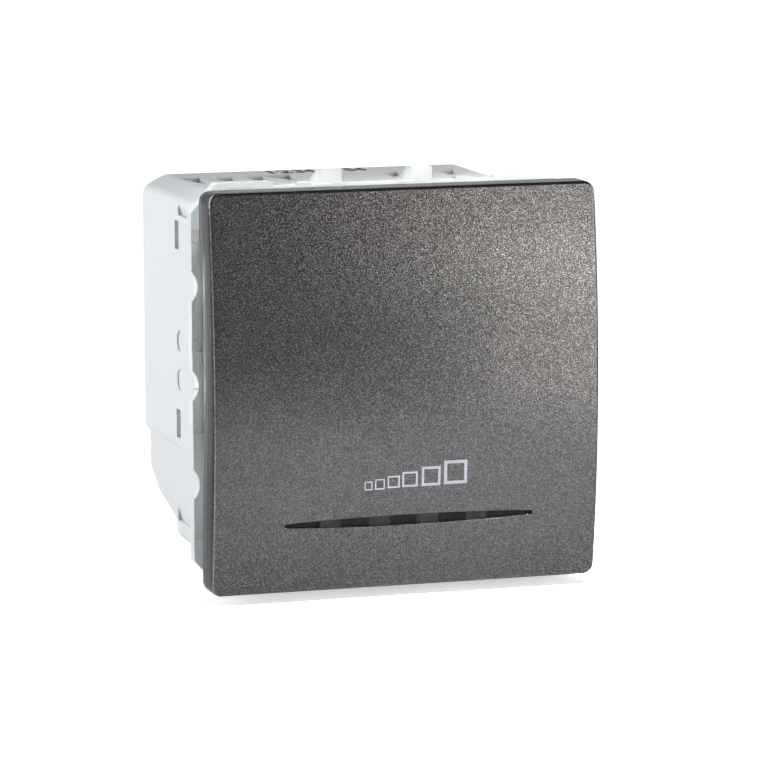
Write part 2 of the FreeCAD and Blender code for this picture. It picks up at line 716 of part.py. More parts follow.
def body_hollow():
    """Space inside the housing and terminal block."""
    band_in = BAND_Y - REAR_WALL
    side = [
        (-1, INNER_Z, 0),
        (INNER_Y, INNER_Z, 0),
        (INNER_Y, STEP_Z, 0),
        (band_in, STEP_Z, 0),
        (band_in, FLOOR_Z + 1.5, 0),
        (band_in - 2, FLOOR_Z, 0),
        (FLOOR_START, FLOOR_Z, 0),
        (FLOOR_START - 1.5, -INNER_Z, 0),
        (-1, -INNER_Z, 0),
    ]
    cut_x = INNER_X - CORNER_CUT_X
    cut_z = INNER_Z - CORNER_CUT_Z
    quarter = [(INNER_X, cut_z, 0), (cut_x, INNER_Z, 0)]
    top = quarter + [(-x, z, r) for x, z, r in reversed(quarter)]
    front = top + [(-x, -z, r) for x, z, r in top]
    return side_prism(side, -INNER_X, INNER_X).common(front_prism(front, -1, BODY_DEPTH))


def body_shell():
    """Hollow box that the housing and the terminal block are cut from."""
    outer = side_prism(body_side(), -BODY_X, BODY_X).common(front_prism(body_front(), 0, BODY_DEPTH))
    return outer.cut(body_hollow())


def block_space():
    """Where the terminal block takes over from the housing: everything low behind its front end."""
    return box(-FACE, FACE, BLOCK_START, BODY_DEPTH + 1, -FACE, STEP_Z)


def top_openings():
    """Vent slits and the deeper clip windows in the top wall, each with a shallow recess on its left."""
    cutters = []
    for x in VENT_PLACES:
        cutters.append(box(x, x + VENT_WIDTH, VENT_START, VENT_START + VENT_LENGTH, INNER_Z - 1, BODY_Z + 1))
        left = x - RECESS_SIDE
        end = VENT_START + VENT_LENGTH
        cutters.append(box(left, x, VENT_START, end, BODY_Z - RECESS_DEEP, BODY_Z + 1))
    for x, reach in zip(WINDOW_PLACES, WINDOW_RAMPS):
        end = WINDOW_START + WINDOW_LENGTH
        cutters.append(box(x, x + WINDOW_WIDTH / 2, WINDOW_START, end, INNER_Z - 1, BODY_Z + 1))
        slope = [
            Vector(x - reach, end, BODY_Z + 1),
            Vector(x, end, BODY_Z + 1),
            Vector(x, WINDOW_START, BODY_Z + 1),
        ]
        ramp = Part.Face(Part.makePolygon(slope + slope[:1]))
        cutters.append(ramp.extrude(Vector(0, 0, -RECESS_DEEP - 1)))
    return cutters


def side_openings():
    """Slits that the frame's arms catch in, and the shallow pockets, on both sides."""
    cutters = []
    for height in ARM_HEIGHTS:
        low = height - SLIT_HEIGHT / 2
        slit = box(INNER_X - 1, BODY_X + 1, SLIT_START, SLIT_START + SLIT_LENGTH, low, low + SLIT_HEIGHT)
        cutters.extend(both_sides(slit))
    for z in PIN_MARK_HEIGHTS:
        place = Vector(BODY_X - PIN_MARK_DEEP, PIN_MARK_Y, z)
        cutters.extend(both_sides(Part.makeCylinder(PIN_MARK_R, 1, place, Vector(1, 0, 0))))
    return cutters + shallow_pockets()


def shallow_pockets():
    """Shallow pockets near the flange, on both sides, with a floor that slopes out towards their tops."""
    pockets = []
    for (y0, y1, near, far), edge, inward in ((HIGH_POCKET, BODY_Z, -1), (LOW_POCKET, -BODY_Z, 1)):
        low, high = sorted((edge + inward * near, edge + inward * far))
        wedge = [
            Vector(BODY_X + 1, y0, low),
            Vector(BODY_X - POCKET_DEEP, y0, low),
            Vector(BODY_X, y0, high),
            Vector(BODY_X + 1, y0, high),
        ]
        pocket = Part.Face(Part.makePolygon(wedge + wedge[:1])).extrude(Vector(0, y1 - y0, 0))
        pockets.extend(both_sides(pocket))
    return pockets


def rear_housing():
    """Housing: open at the front, with partitions, plate ledges, slits and screwdriver holes."""
    shell = body_shell().cut(block_space())
    ledge = box(INNER_X - LEDGE, INNER_X + 0.5, LEDGE_START, INNER_Y + 0.5, PLATE_Z - 1.0, PLATE_Z)
    added = both_sides(ledge)
    for i in range(TERMINAL_COUNT + 1):
        x = (i - TERMINAL_COUNT / 2) * TERMINAL_PITCH
        half = PARTITION / 2
        added.append(box(x - half, x + half, STRIP_FRONT - PARTITION_FRONT, INNER_Y + 0.5, STEP_Z, STRIP_TOP))
    cutters = top_openings() + side_openings() + at_clips(clip_relief())
    for x in terminal_places():
        cutters.append(rod_y(DRIVER_R, INNER_Y - 1, BODY_DEPTH + 1, x, SCREW_Z))
    return shell.multiFuse(added).removeSplitter().cut(Part.makeCompound(cutters))


def terminal_block():
    """Lower rear moulding, with a sunk round wire entry under each terminal."""
    block = body_shell().common(block_space())
    cutters = shallow_pockets()
    for x in terminal_places():
        cutters.append(rod_z(ENTRY_R, -BODY_Z, FLOOR_Z + 1, x, CONDUCTOR_Y))
        cutters.append(rod_z(SINK_R, -BODY_Z, SINK_TOP, x, CONDUCTOR_Y))
    return block.cut(Part.makeCompound(cutters))


def plunger():
    """Plunger: domed head under the key's boss, and a stem that slides in the deck."""
    head = rod_y(HEAD_R, HEAD_FRONT + 0.4, HEAD_REAR, 0, PLUNGER_Z)
    neck = Part.makeCone(BOSS_R * 0.6, HEAD_R, 0.4, Vector(0, HEAD_FRONT, PLUNGER_Z), Vector(0, 1, 0))
    stem = rod_y(STEM_R, HEAD_FRONT + 0.4, SWITCH_TOP - RUN, 0, PLUNGER_Z)
    return head.multiFuse([neck, stem]).removeSplitter()


def return_spring():
    """Coil between the deck and the plunger's head: quarter turns of one helix, ground where it ends."""
    low = HEAD_REAR + WIRE_R + 0.02
    high = DECK_FRONT - WIRE_R - 0.02

    def on_helix(turn):
        angle = turn * 2 * math.pi
        y = low + (high - low) * turn / COIL_TURNS
        return Vector(COIL_R * math.cos(angle), y, PLUNGER_Z + COIL_R * math.sin(angle))

    edges = []
    steps = int(COIL_TURNS * 4)
    for i in range(steps):
        ends = [i / 4, (i + 0.5) / 4, (i + 1) / 4]
        edges.append(Part.Arc(*[on_helix(turn) for turn in ends]).toShape())
    path = Part.Wire(edges)
    start = on_helix(0)
    along = edges[0].tangentAt(edges[0].FirstParameter)
    section = Part.Wire([Part.Circle(start, along, WIRE_R).toShape()])
    return path.makePipeShell([section], True, False)


def switch_body():
    """Push switch on the board, with a blind round well for its button."""
    half = SWITCH_WIDTH / 2
    body = box(-half, half, SWITCH_TOP + SWITCH_RISE, BOARD_FRONT, PLUNGER_Z - half, PLUNGER_Z + half)
    edges = [edge for edge in body.Edges if abs(edge.tangentAt(edge.FirstParameter).y) > 0.9]
    body = body.makeFillet(0.6, edges)
    return body.cut(rod_y(BUTTON_R + RUN, SWITCH_TOP, BOARD_FRONT - SWITCH_FLOOR, 0, PLUNGER_Z))


def switch_button():
    """Button of the push switch."""
    end = BOARD_FRONT - SWITCH_FLOOR - SWITCH_TRAVEL - RUN
    return rod_y(BUTTON_R, SWITCH_TOP, end, 0, PLUNGER_Z)


def control_board():
    """Circuit board with cut corners and two screw holes."""
    quarter = [(BOARD_X, BOARD_Z - BOARD_CUT, 0), (BOARD_X - BOARD_CUT, BOARD_Z, 0)]
    top = quarter + [(-x, z, r) for x, z, r in reversed(quarter)]
    board = front_prism(top + [(-x, -z, r) for x, z, r in top], BOARD_FRONT, BOARD_REAR)
    holes = [rod_y(SCREW_SHANK_R + 0.2, 0, BODY_DEPTH, x, POST_Z) for x in (POST_X, -POST_X)]
    return board.cut(Part.makeCompound(holes))


def board_screws():
    """Two screws that hold the board on the frame's upper posts."""
    screws = []
    for x in (POST_X, -POST_X):
        head = rod_y(SCREW_HEAD_R, BOARD_REAR, BOARD_REAR + SCREW_HEAD, x, POST_Z)
        edges = [edge for edge in head.Edges if abs(edge.CenterOfMass.y - BOARD_REAR - SCREW_HEAD) < 1e-6]
        head = head.makeChamfer(0.3, edges)
        shank = rod_y(SCREW_SHANK_R, BOARD_REAR - SCREW_LENGTH, BOARD_REAR, x, POST_Z)
        cross = box(x - 1.1, x + 1.1, BOARD_REAR + 0.5, BODY_DEPTH, POST_Z - 0.2, POST_Z + 0.2)
        turned = box(x - 0.2, x + 0.2, BOARD_REAR + 0.5, BODY_DEPTH, POST_Z - 1.1, POST_Z + 1.1)
        screws.append(head.fuse(shank).removeSplitter().cut(cross.fuse(turned)))
    return Part.makeCompound(screws)


def controller_chip():
    """Controller in a flat package, with leads on both sides."""
    half_x = CONTROLLER_WIDTH / 2
    half_z = CONTROLLER_HEIGHT / 2
    rear = BOARD_FRONT - RUN
    front = rear - CONTROLLER_THICK
    left = CONTROLLER_X - half_x
    bottom = CONTROLLER_Z - half_z
    body = box(left, left + 2 * half_x, front, rear, bottom, bottom + 2 * half_z)
    reach = half_x + FOOT_LENGTH
    leads = []
    for i in range(CONTROLLER_LEADS):
        low = CONTROLLER_Z + (i - (CONTROLLER_LEADS - 1) / 2) * FOOT_PITCH - FOOT_WIDTH / 2
        foot = BOARD_FRONT - FOOT_THICK
        start = CONTROLLER_X - reach
        leads.append(box(start, start + 2 * reach, foot, BOARD_FRONT, low, low + FOOT_WIDTH))
    return body.multiFuse(leads).removeSplitter()


def chip_resistors():
    """Row of small flat resistors beside the controller."""
    front = BOARD_FRONT - RESISTOR_THICK
    high = RESISTOR_Z + RESISTOR_HEIGHT
    pieces = []
    for i in range(RESISTOR_COUNT):
        x = RESISTOR_X + i * RESISTOR_PITCH
        pieces.append(box(x, x + RESISTOR_WIDTH, front, BOARD_FRONT, RESISTOR_Z, high))
    return Part.makeCompound(pieces)


def indicator_led():
    """Small flat lamp behind the light pipe."""
    half_x = LED_WIDTH / 2
    half_z = LED_HEIGHT / 2
    front = BOARD_FRONT - LED_THICK
    return box(PIPE_X - half_x, PIPE_X + half_x, front, BOARD_FRONT, SLOT_Z - half_z, SLOT_Z + half_z)


def light_pipe():
    """Clear fan that spreads the lamp's light to the window, with a shoulder behind the deck."""
    front = EDGE_Y + WINDOW_SEAT + WINDOW_THICK + 1.0
    shoulder_rear = DECK_REAR + 0.8
    straight = light_duct(0, front, shoulder_rear)
    shoulder = light_duct(0.5, DECK_REAR, shoulder_rear)
    lamp = BOARD_FRONT - LED_THICK - RUN
    low = SLOT_Z - PIPE_HALF_Z
    fan = [
        Vector(PIPE_X - PIPE_HALF_X, DECK_REAR, low),
        Vector(PIPE_X + PIPE_HALF_X, DECK_REAR, low),
        Vector(PIPE_X + LED_WIDTH / 2, lamp, low),
        Vector(PIPE_X - LED_WIDTH / 2, lamp, low),
    ]
    wedge = Part.Face(Part.makePolygon(fan + fan[:1])).extrude(Vector(0, 0, 2 * PIPE_HALF_Z))
    return straight.multiFuse([shoulder, wedge]).removeSplitter()


def heat_plate():
    """Aluminium plate under the top wall, on the housing's ledges, folded down at its rear."""
    half = INNER_X - PLAY
    plate_top = PLATE_Z + PLATE_THICK
    rear = INNER_Y - PLAY
    side = [
        (rear, plate_top, PLATE_THICK + 0.4),
        (rear, PLATE_Z - PLATE_FOLD, 0),
        (rear - PLATE_THICK, PLATE_Z - PLATE_FOLD, 0),
        (rear - PLATE_THICK, PLATE_Z, 0.4),
        (PLATE_FRONT, PLATE_Z, 0),
        (PLATE_FRONT, plate_top, 0),
    ]
    shoulder = PLATE_Z + 0.5
    cut_x = INNER_X - CORNER_CUT_X + 1.2
    fold_x = half - 3.0
    right = [(fold_x, 0), (fold_x, PLATE_Z), (half, PLATE_Z), (half, shoulder), (cut_x, plate_top)]
    outline = right + [(-x, z) for x, z in reversed(right)]
    trim = front_prism([(x, z, 0) for x, z in outline], 0, BODY_DEPTH)
    plate = side_prism(side, -half, half).common(trim)
    return plate.cut(rod_z(RIVET_R + RUN, 0, BODY_Z, TRANSISTOR_X, RIVET_Y))


def power_transistor():
    """Power transistor under the plate: moulded body in front, metal tab behind, three leads to the board."""
    x = TRANSISTOR_X
    y0 = TRANSISTOR_Y - CHIP_LENGTH / 2
    y1 = TRANSISTOR_Y + CHIP_LENGTH / 2
    half = CHIP_WIDTH / 2
    body = box(x - half, x + half, y0, y1, PLATE_Z - CHIP_THICK, PLATE_Z)
    tab = box(x - half, x + half, y1 - 1, y1 + TAB_LENGTH, PLATE_Z - TAB_THICK, PLATE_Z)
    hole = rod_z(RIVET_R + RUN, 0, BODY_Z, x, RIVET_Y)
    lead_z = PLATE_Z - LEAD_DROP
    leads = []
    for i in (-1, 0, 1):
        low = x + i * LEAD_PITCH - LEAD_WIDTH / 2
        leads.append(box(low, low + LEAD_WIDTH, BOARD_REAR, y0 + 0.5, lead_z, lead_z + LEAD_THICK))
    return body.multiFuse([tab] + leads).removeSplitter().cut(hole)


def plate_rivet():
    """Rivet through the plate and the transistor's tab."""
    low = PLATE_Z - TAB_THICK
    high = PLATE_Z + PLATE_THICK
    shank = rod_z(RIVET_R, low, high, TRANSISTOR_X, RIVET_Y)
    heads = [rod_z(RIVET_HEAD_R, low - RIVET_HEAD, low, TRANSISTOR_X, RIVET_Y)]
    heads.append(rod_z(RIVET_HEAD_R, high, high + RIVET_HEAD, TRANSISTOR_X, RIVET_Y))
    return shank.multiFuse(heads).removeSplitter()


def choke_core():
    """Ring core of the choke, its axis square to the board."""
    y0 = BOARD_REAR + WINDING
    ring = rod_y(CHOKE_OUT, y0, y0 + CHOKE_THICK, CHOKE_X, CHOKE_Z)
    return ring.cut(rod_y(CHOKE_IN, y0, y0 + CHOKE_THICK, CHOKE_X, CHOKE_Z))


def choke_winding():
    """Winding round the core, left open where its two ends come down to the board."""
    y0 = BOARD_REAR
    y1 = BOARD_REAR + CHOKE_THICK + 2 * WINDING
    ring = rod_y(CHOKE_OUT + WINDING, y0, y1, CHOKE_X, CHOKE_Z)
    ring = ring.cut(rod_y(CHOKE_IN - WINDING, y0, y1, CHOKE_X, CHOKE_Z)).cut(choke_core())
    half = CHOKE_OPEN / 2
    gap = box(CHOKE_X - half, CHOKE_X + half, y0, y1, CHOKE_Z - CHOKE_OUT - 2, CHOKE_Z)
    return ring.cut(gap)


def film_capacitor():
    """Film capacitor: a moulded block with bevelled edges."""
    x0 = FILM_X - FILM_WIDTH / 2
    z0 = FILM_Z - FILM_HEIGHT / 2
    block = box(x0, x0 + FILM_WIDTH, BOARD_REAR, BOARD_REAR + FILM_DEEP, z0, z0 + FILM_HEIGHT)
    edges = [edge for edge in block.Edges if edge.CenterOfMass.y > BOARD_REAR + 1]
    return block.makeChamfer(0.5, edges)


def bulk_capacitor():
    """Round capacitor standing on the board, with its rolled groove."""
    rear = BOARD_REAR + BULK_DEEP
    can = rod_y(BULK_R, BOARD_REAR, rear, BULK_X, BULK_Z)
    edges = [edge for edge in can.Edges if abs(edge.CenterOfMass.y - rear) < 1e-6]
    can = can.makeChamfer(0.4, edges)
    groove = rod_y(BULK_R + 1, BOARD_REAR + 1.6, BOARD_REAR + 2.2, BULK_X, BULK_Z)
    return can.cut(groove.cut(rod_y(BULK_R - BULK_GROOVE, BOARD_REAR, rear, BULK_X, BULK_Z)))


def fuse():
    """Fuse lying on the board: a ceramic tube with a metal cap at each end."""
    end = FUSE_LENGTH / 2
    y = BOARD_REAR + FUSE_R + FUSE_CAP_WALL
    tube = rod_x(FUSE_R, -end + FUSE_CAP, end - FUSE_CAP, y, FUSE_Z)
    caps = [rod_x(FUSE_R + FUSE_CAP_WALL, x, x + FUSE_CAP, y, FUSE_Z) for x in (-end, end - FUSE_CAP)]
    return Part.makeCompound([tube] + caps)


def varistor():
    """Varistor: a flat disc on edge with two leads."""
    half = VARISTOR_THICK / 2
    y = BOARD_REAR + VARISTOR_R + 0.6
    disc = rod_x(VARISTOR_R, VARISTOR_X - half, VARISTOR_X + half, y, VARISTOR_Z)
    rims = [edge for edge in disc.Edges if edge.Closed]
    disc = disc.makeChamfer(0.6, rims)
    leads = []
    for side in (-VARISTOR_LEAD_PITCH / 2, VARISTOR_LEAD_PITCH / 2):
        leads.append(rod_y(VARISTOR_LEAD_R, BOARD_REAR, y - 2, VARISTOR_X, VARISTOR_Z + side))
    return disc.multiFuse(leads).removeSplitter()


def contact_strip(x):
    """Brass strip of one terminal: the screw bears on its back, and its bent end is soldered to the board."""
    side = [
        (STRIP_REAR, STRIP_TOP, 1.2),
        (STRIP_REAR, STRIP_BOTTOM, 0),
        (STRIP_FRONT, STRIP_BOTTOM, 0),
        (STRIP_FRONT, STRIP_TOP - STRIP_THICK, 0.4),
        (BOARD_REAR, STRIP_TOP - STRIP_THICK, 0),
        (BOARD_REAR, STRIP_TOP, 0),
    ]
    return side_prism(side, x - STRIP_WIDTH / 2, x + STRIP_WIDTH / 2)


def terminal_cage(x):
    """Steel cage round one strip, open: its front wall presses the wire, its rear wall has the thread."""
    half = CAGE_WIDTH / 2
    low = SCREW_Z - CAGE_HEIGHT / 2
    high = SCREW_Z + CAGE_HEIGHT / 2
    front = STRIP_FRONT - CAGE_OPEN - CAGE_WALL
    nut = STRIP_REAR + PLAY / 2
    cage = box(x - half, x + half, front, nut + CAGE_NUT, low, high)
    edges = [edge for edge in cage.Edges if abs(edge.tangentAt(edge.FirstParameter).z) > 0.9]
    cage = cage.makeFillet(0.6, edges)
    inner = half - CAGE_WALL
    cage = cage.cut(box(x - inner, x + inner, front + CAGE_WALL, nut, low - 1, high + 1))
    return cage.cut(rod_y(TERMINAL_SHANK_R + RUN, nut - 1, nut + CAGE_NUT + 1, x, SCREW_Z))


def terminal_screw(x):
    """Captive screw of one terminal: its tip bears on the strip, its slotted head is behind the wall."""
    head_rear = INNER_Y - PLAY
    head_front = head_rear - TERMINAL_HEAD
    shank = rod_y(TERMINAL_SHANK_R, STRIP_REAR + RUN, head_front, x, SCREW_Z)
    head = rod_y(TERMINAL_HEAD_R, head_front, head_rear, x, SCREW_Z)
    edges = [edge for edge in head.Edges if abs(edge.CenterOfMass.y - head_rear) < 1e-6]
    head = head.makeChamfer(0.25, edges)
    slot_left = x - DRIVE_SLOT / 2
    slot_front = head_rear - DRIVE_DEEP
    slot = box(slot_left, slot_left + DRIVE_SLOT, slot_front, BODY_DEPTH, SCREW_Z - 3, SCREW_Z + 3)
    return head.fuse(shank).removeSplitter().cut(slot)


def all_nodes():
    """Every piece of the module by its node name."""
    nodes = {
        "key_cover": key_cover(),
        "slot_window": slot_window(),
        "front_frame": front_frame(),
        "rear_housing": rear_housing(),
        "terminal_block": terminal_block(),
        "plunger": plunger(),
        "return_spring": return_spring(),
        "switch_body": switch_body(),
        "switch_button": switch_button(),
        "control_board": control_board(),
        "board_screws": board_screws(),
        "controller_chip": controller_chip(),
        "chip_resistors": chip_resistors(),
        "indicator_led": indicator_led(),
        "light_pipe": light_pipe(),
        "heat_plate": heat_plate(),
        "power_transistor": power_transistor(),
        "plate_rivet": plate_rivet(),
        "choke_core": choke_core(),
        "choke_winding": choke_winding(),
        "film_capacitor": film_capacitor(),
        "bulk_capacitor": bulk_capacitor(),
        "fuse": fuse(),
        "varistor": varistor(),
    }
    for number, x in enumerate(terminal_places(), start=1):
        nodes[f"contact_strip_{number}"] = contact_strip(x)
        nodes[f"terminal_cage_{number}"] = terminal_cage(x)
        nodes[f"terminal_screw_{number}"] = terminal_screw(x)
    return nodes


os.makedirs("parts", exist_ok=True)
for name, shape in all_nodes().items():
    shape.exportStep(f"parts/{name}.step")
    state = "valid" if shape.isValid() else "NOT VALID"
    print(f"{name}: {len(shape.Solids)} solid(s), {shape.Volume:.1f} mm3, {state}")
key_turn = math.degrees(SWITCH_TRAVEL / (HINGE_Z - PLUNGER_Z))
print(f"key turn {key_turn:.3f} degrees at {SWITCH_TRAVEL} mm of switch travel")
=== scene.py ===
"""Looks of the pushbutton dimmer module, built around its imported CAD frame."""

import json
import math

import bmesh
import bpy
import numpy as np
from mathutils import Matrix, Vector


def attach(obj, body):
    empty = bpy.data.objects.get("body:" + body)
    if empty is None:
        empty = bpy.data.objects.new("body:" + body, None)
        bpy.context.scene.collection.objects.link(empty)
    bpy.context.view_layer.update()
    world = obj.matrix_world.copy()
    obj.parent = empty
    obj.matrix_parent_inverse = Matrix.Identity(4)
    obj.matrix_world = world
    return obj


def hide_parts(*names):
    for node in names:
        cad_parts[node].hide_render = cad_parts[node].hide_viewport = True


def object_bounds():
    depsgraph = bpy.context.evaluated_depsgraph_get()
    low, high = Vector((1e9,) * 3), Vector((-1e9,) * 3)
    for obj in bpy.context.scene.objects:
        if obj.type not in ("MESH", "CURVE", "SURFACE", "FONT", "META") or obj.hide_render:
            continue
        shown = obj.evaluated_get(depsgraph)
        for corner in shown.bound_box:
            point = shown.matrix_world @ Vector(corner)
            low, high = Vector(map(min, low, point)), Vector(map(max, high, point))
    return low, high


bl_info = {
    "name": "Dimmer Module",
    "version": (1, 0, 0),
    "blender": (4, 5, 0),
    "location": "View3D > Sidebar > Dimmer",
    "description": "Builds the visible pieces of a 45 mm pushbutton dimmer module",
    "category": "Object",
}

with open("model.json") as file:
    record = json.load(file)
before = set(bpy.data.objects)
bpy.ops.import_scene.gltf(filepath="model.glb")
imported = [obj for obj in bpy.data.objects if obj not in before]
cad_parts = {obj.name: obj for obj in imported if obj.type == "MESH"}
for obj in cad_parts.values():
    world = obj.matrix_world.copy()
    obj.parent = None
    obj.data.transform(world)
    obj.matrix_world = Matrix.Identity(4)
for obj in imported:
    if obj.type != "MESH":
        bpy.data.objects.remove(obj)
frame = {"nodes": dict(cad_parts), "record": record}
CAD_BOX = [list(corner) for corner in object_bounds()]
MM = 0.001

# Key, its slot and the window behind it, in millimetres
EDGE_Y = -8.9  # plane of the key's edges
HALF = frame["nodes"]["key_cover"].dimensions.x / 2 / MM
BULGE = 1.75
FACE_R = (HALF**2 + BULGE**2) / (2 * BULGE)
FACE_AXIS_Y = EDGE_Y - BULGE + FACE_R
KEY_CORNER = 1.2
WAIST = 1.75  # depth of the skirt between its ears and its foot
EAR = (14.4, 3.0, 2.05)  # start height, length of the step, extra depth
FOOT = (1.0, 23.4, 1.95, 1.4)  # start height, length of the curve, extra depth, power of the curve
BRIM = 0.12  # rounding of the skirt's rear edge
SLOT_Z = -14.7
SLOT_X = 0.28
SLOT_HALF = 14.5
SLOT_RISE = 0.64  # half height at the middle
SLOT_END = 0.28  # half height just before the round ends
SLOT_WALL_Y = -9.83  # behind the lips of the slot
WINDOW_Y = -8.6  # front of the window behind the slot
WINDOW_PLATE = ((-15.55, WINDOW_Y, -16.32), (15.55, -7.4, -13.02))

# Insert in the slot with the bars of the light window
INSERT_Y = -9.35
INSERT_PLAY = 0.03
INSERT_LEAST = 0.004  # half height at its ends
BAR_MIDDLES = (-8.82, -3.15, 2.56, 8.15)
BAR_HALF = 1.25
BAR_SOFT = 0.12
BAR_RISE = 0.16
BAR_CELLS = 260  # points along the insert

# Paint of the key: ranges of height and place of the painted highlights along its edges, and of the painted
# shade, which is also dull on the right edge
HIGHLIGHT_TOP_Z = (19.5, 21.0)
HIGHLIGHT_SIDE_Z = (-20.0, 0.0)
HIGHLIGHT_RIGHT_Z = (5.0, 19.0)
HIGHLIGHT_LIP_X = (4.0, 11.0)
HIGHLIGHT_TIP_X = (-14.4, -14.0)
SHADE_LINE_Z = (21.7, 21.9)
SLOT_SHADE_X = (15.0, 16.0)
# Colours of the painted highlights and of the painted shade
HIGHLIGHT_COLOUR = (0.5, 0.51, 0.53)
PAINTED_SHADE_COLOUR = (0.004, 0.004, 0.004)
FLAKE_LEAN = 0.012

# Inner side of the key: ribs, hinge lugs with their pins, hooks and the boss that pushes the plunger
RIB = (8.0, 8.8, -7.95, -11.8, 14.0)  # from x, to x, rear y, from z, to z
HINGE = (-4.9, 18.0)  # y and z of the pins
LUG = (14.0, 15.6, 1.5)  # from x, to x, radius
PIN = (17.3, 1.0)  # end x, radius
HOOK_X = (14.2, 16.8)
HOOK_SIDE = ((-18.0, -1.6), (-17.2, -1.6), (-18.0, -0.4), (-19.1, -0.4))  # z and y behind the key's face
BOSS = (2.0, -7.05, -9.5)  # radius, rear y, z
LUG_ROOT, RIB_ROOT, BOSS_ROOT = 0.2, 0.9, 1.0  # starts in front of the edge plane, in the face's wall
PIN_ROOT = 0.2  # start of the pin inside the lug
HOOK_FOOT = 0.6  # from the lug's root back to the hook's straight part
RIB_SLOPE = 0.3
ROUNDING = 0.12  # of the ends of ribs, lugs, pins, hooks and boss

# Growing squares printed above the slot: left, right, low, high and line width
INK = 0.012  # thickness of the print
INK_ROOT = 0.05  # how deep its sides reach into the key
SQUARES = (
    (-5.05, -4.15, -11.1, -10.12, 0.12),
    (-3.83, -2.72, -11.07, -9.9, 0.12),
    (-2.38, -0.97, -10.98, -9.62, 0.16),
    (-0.68, 1.12, -10.95, -9.25, 0.21),
    (1.58, 3.78, -10.95, -8.77, 0.28),
    (4.2, 6.9, -10.9, -8.2, 0.35),
)

# Round marks of the ejector pins on the flange's ledge
LEDGE_MARKS = (17.0, 4.8, -4.5, -16.5)
LEDGE_X = 21.59
LEDGE_SEAM_X = (21.25, 22.33)
LEDGE_Y = -1.7
LEDGE_SEAMS = (-0.1, -9.3, -12.9, -17.3)  # heights of thin seam lines
LEDGE_SEAM_HALF = (0.04, 0.05)  # half thickness along y and z
MARK_RING = (0.74, 0.07)  # radius of the ring and of its section

# Polished parting edges of the frame, painted brighter as a highlight, on both sides: nearest and furthest
# x, y and z
POLISHED_HIGHLIGHTS = (((21.3, 22.5), (-0.95, 0.0), (-4.9, 13.7)), ((21.1, 21.3), (-4.6, -2.6), (-17.0, 14.8)))

# Plain numbers printed on the housing's top: text, middle x and width
BODY_Z = 20.9
NUMBER_Y = 25.9
NUMBER_HEIGHT = 3.3
NUMBER_THICK = 0.03
NUMBER_BOLD = 0.04
TOP_NUMBERS = (("12", -4.5, 2.8), ("34", -1.5, 2.6), ("1", 1.45, 0.9), ("54", 4.7, 2.6))

# Choke's winding: centre, radii of the core, and the wire
CHOKE = (-9.0, 8.9, 7.6)
CORE_RADII = (2.7, 5.0)
CORE_HALF = 1.5
WIRE_R = 0.36
WIRE_GAP = 0.02
WIRE_SIDES = 10
TURNS = 16
TURN_STEPS = 40
TURN_POWER = 0.55  # 1 is a round turn, and less is squarer
OPENING = 34.0  # degrees left free at the bottom

# Photograph's camera, found from the four corners of the square front
CAMERA_AZIMUTH = -17.226
CAMERA_ELEVATION = 8.724
CAMERA_ROLL = -0.178
CAMERA_DISTANCE = 0.478945
CAMERA_LENS = 201.74
CAMERA_SHIFT = (-0.02625, 0.00505)
FLOOR_Z = CAD_BOX[0][2]
FLOOR_HALF = 3.0
FLOOR_SHADE = (0.03, 0.12)  # distances from the middle over which the floor's glow rises to white

# Lamps: name, azimuth, elevation, distance, size, the setting with the power, the share of it and the tint
WHITE = (1, 1, 1)
WARM = (1.0, 0.95, 0.84)
LAMPS = (
    ("above", 170, 55, 0.6, (0.4, 0.4), "above", 1.0, WHITE),
    ("left", -73, 14, 0.5, (0.1, 0.22), "left", 1.0, WHITE),
    ("behind", -130, 20, 0.5, (0.4, 0.4), "behind", 1.0, WHITE),
    ("right_high", 31, 15, 0.25, (0.12, 0.1), "right", 0.9, WARM),
    ("right_low", 36, -3, 0.13, (0.07, 0.07), "right", 0.37, WARM),
)
SPOT = (15, 60, 0.4, (0.1, 0.1))  # azimuth, elevation, distance and size of the lamp for the floor
SPOT_SHARE = 0.55
SPOT_PLACE = (0.02, -0.055, FLOOR_Z)  # on the floor in front of the key
SPOT_SPREAD = 15  # degrees

# Cells of the key's grid
CORNER_CELLS = 5
SIDE_CELLS = (70, 14)  # of a side above and below the slot's height
SLOT_CELLS = (15, 64, 15)  # of the slot's line left of it, in it and right of it


class KeySettings(bpy.types.PropertyGroup):
    """Sizes of the key's moulding."""

    edge: bpy.props.FloatProperty(
        name="Edge rounding",
        description="Radius between the face and the skirt",
        default=0.32 * MM,
        unit="LENGTH",
    )
    lip: bpy.props.FloatProperty(
        name="Slot lip", description="Rounding of the light slot's rim", default=0.07 * MM, unit="LENGTH"
    )
    face: bpy.props.FloatProperty(
        name="Face thickness", description="Wall behind the curved face", default=1.3 * MM, unit="LENGTH"
    )
    wall: bpy.props.FloatProperty(
        name="Skirt thickness", description="Wall of the skirt", default=1.0 * MM, unit="LENGTH"
    )


class FinishSettings(bpy.types.PropertyGroup):
    """Colours and grain of the finishes."""

    key_tint: bpy.props.FloatVectorProperty(
        name="Key", description="Graphite paint of the key", default=(0.0354, 0.035, 0.0373), subtype="COLOR"
    )
    flake: bpy.props.FloatProperty(
        name="Flake size", description="Width of the flakes in the paint", default=0.074 * MM, unit="LENGTH"
    )
    print_tint: bpy.props.FloatVectorProperty(
        name="Print", description="Ink of the growing squares", default=(0.2, 0.208, 0.245), subtype="COLOR"
    )
    pale_tint: bpy.props.FloatVectorProperty(
        name="Pale plastic", description="Frame and housing", default=(0.77, 0.81, 0.83), subtype="COLOR"
    )


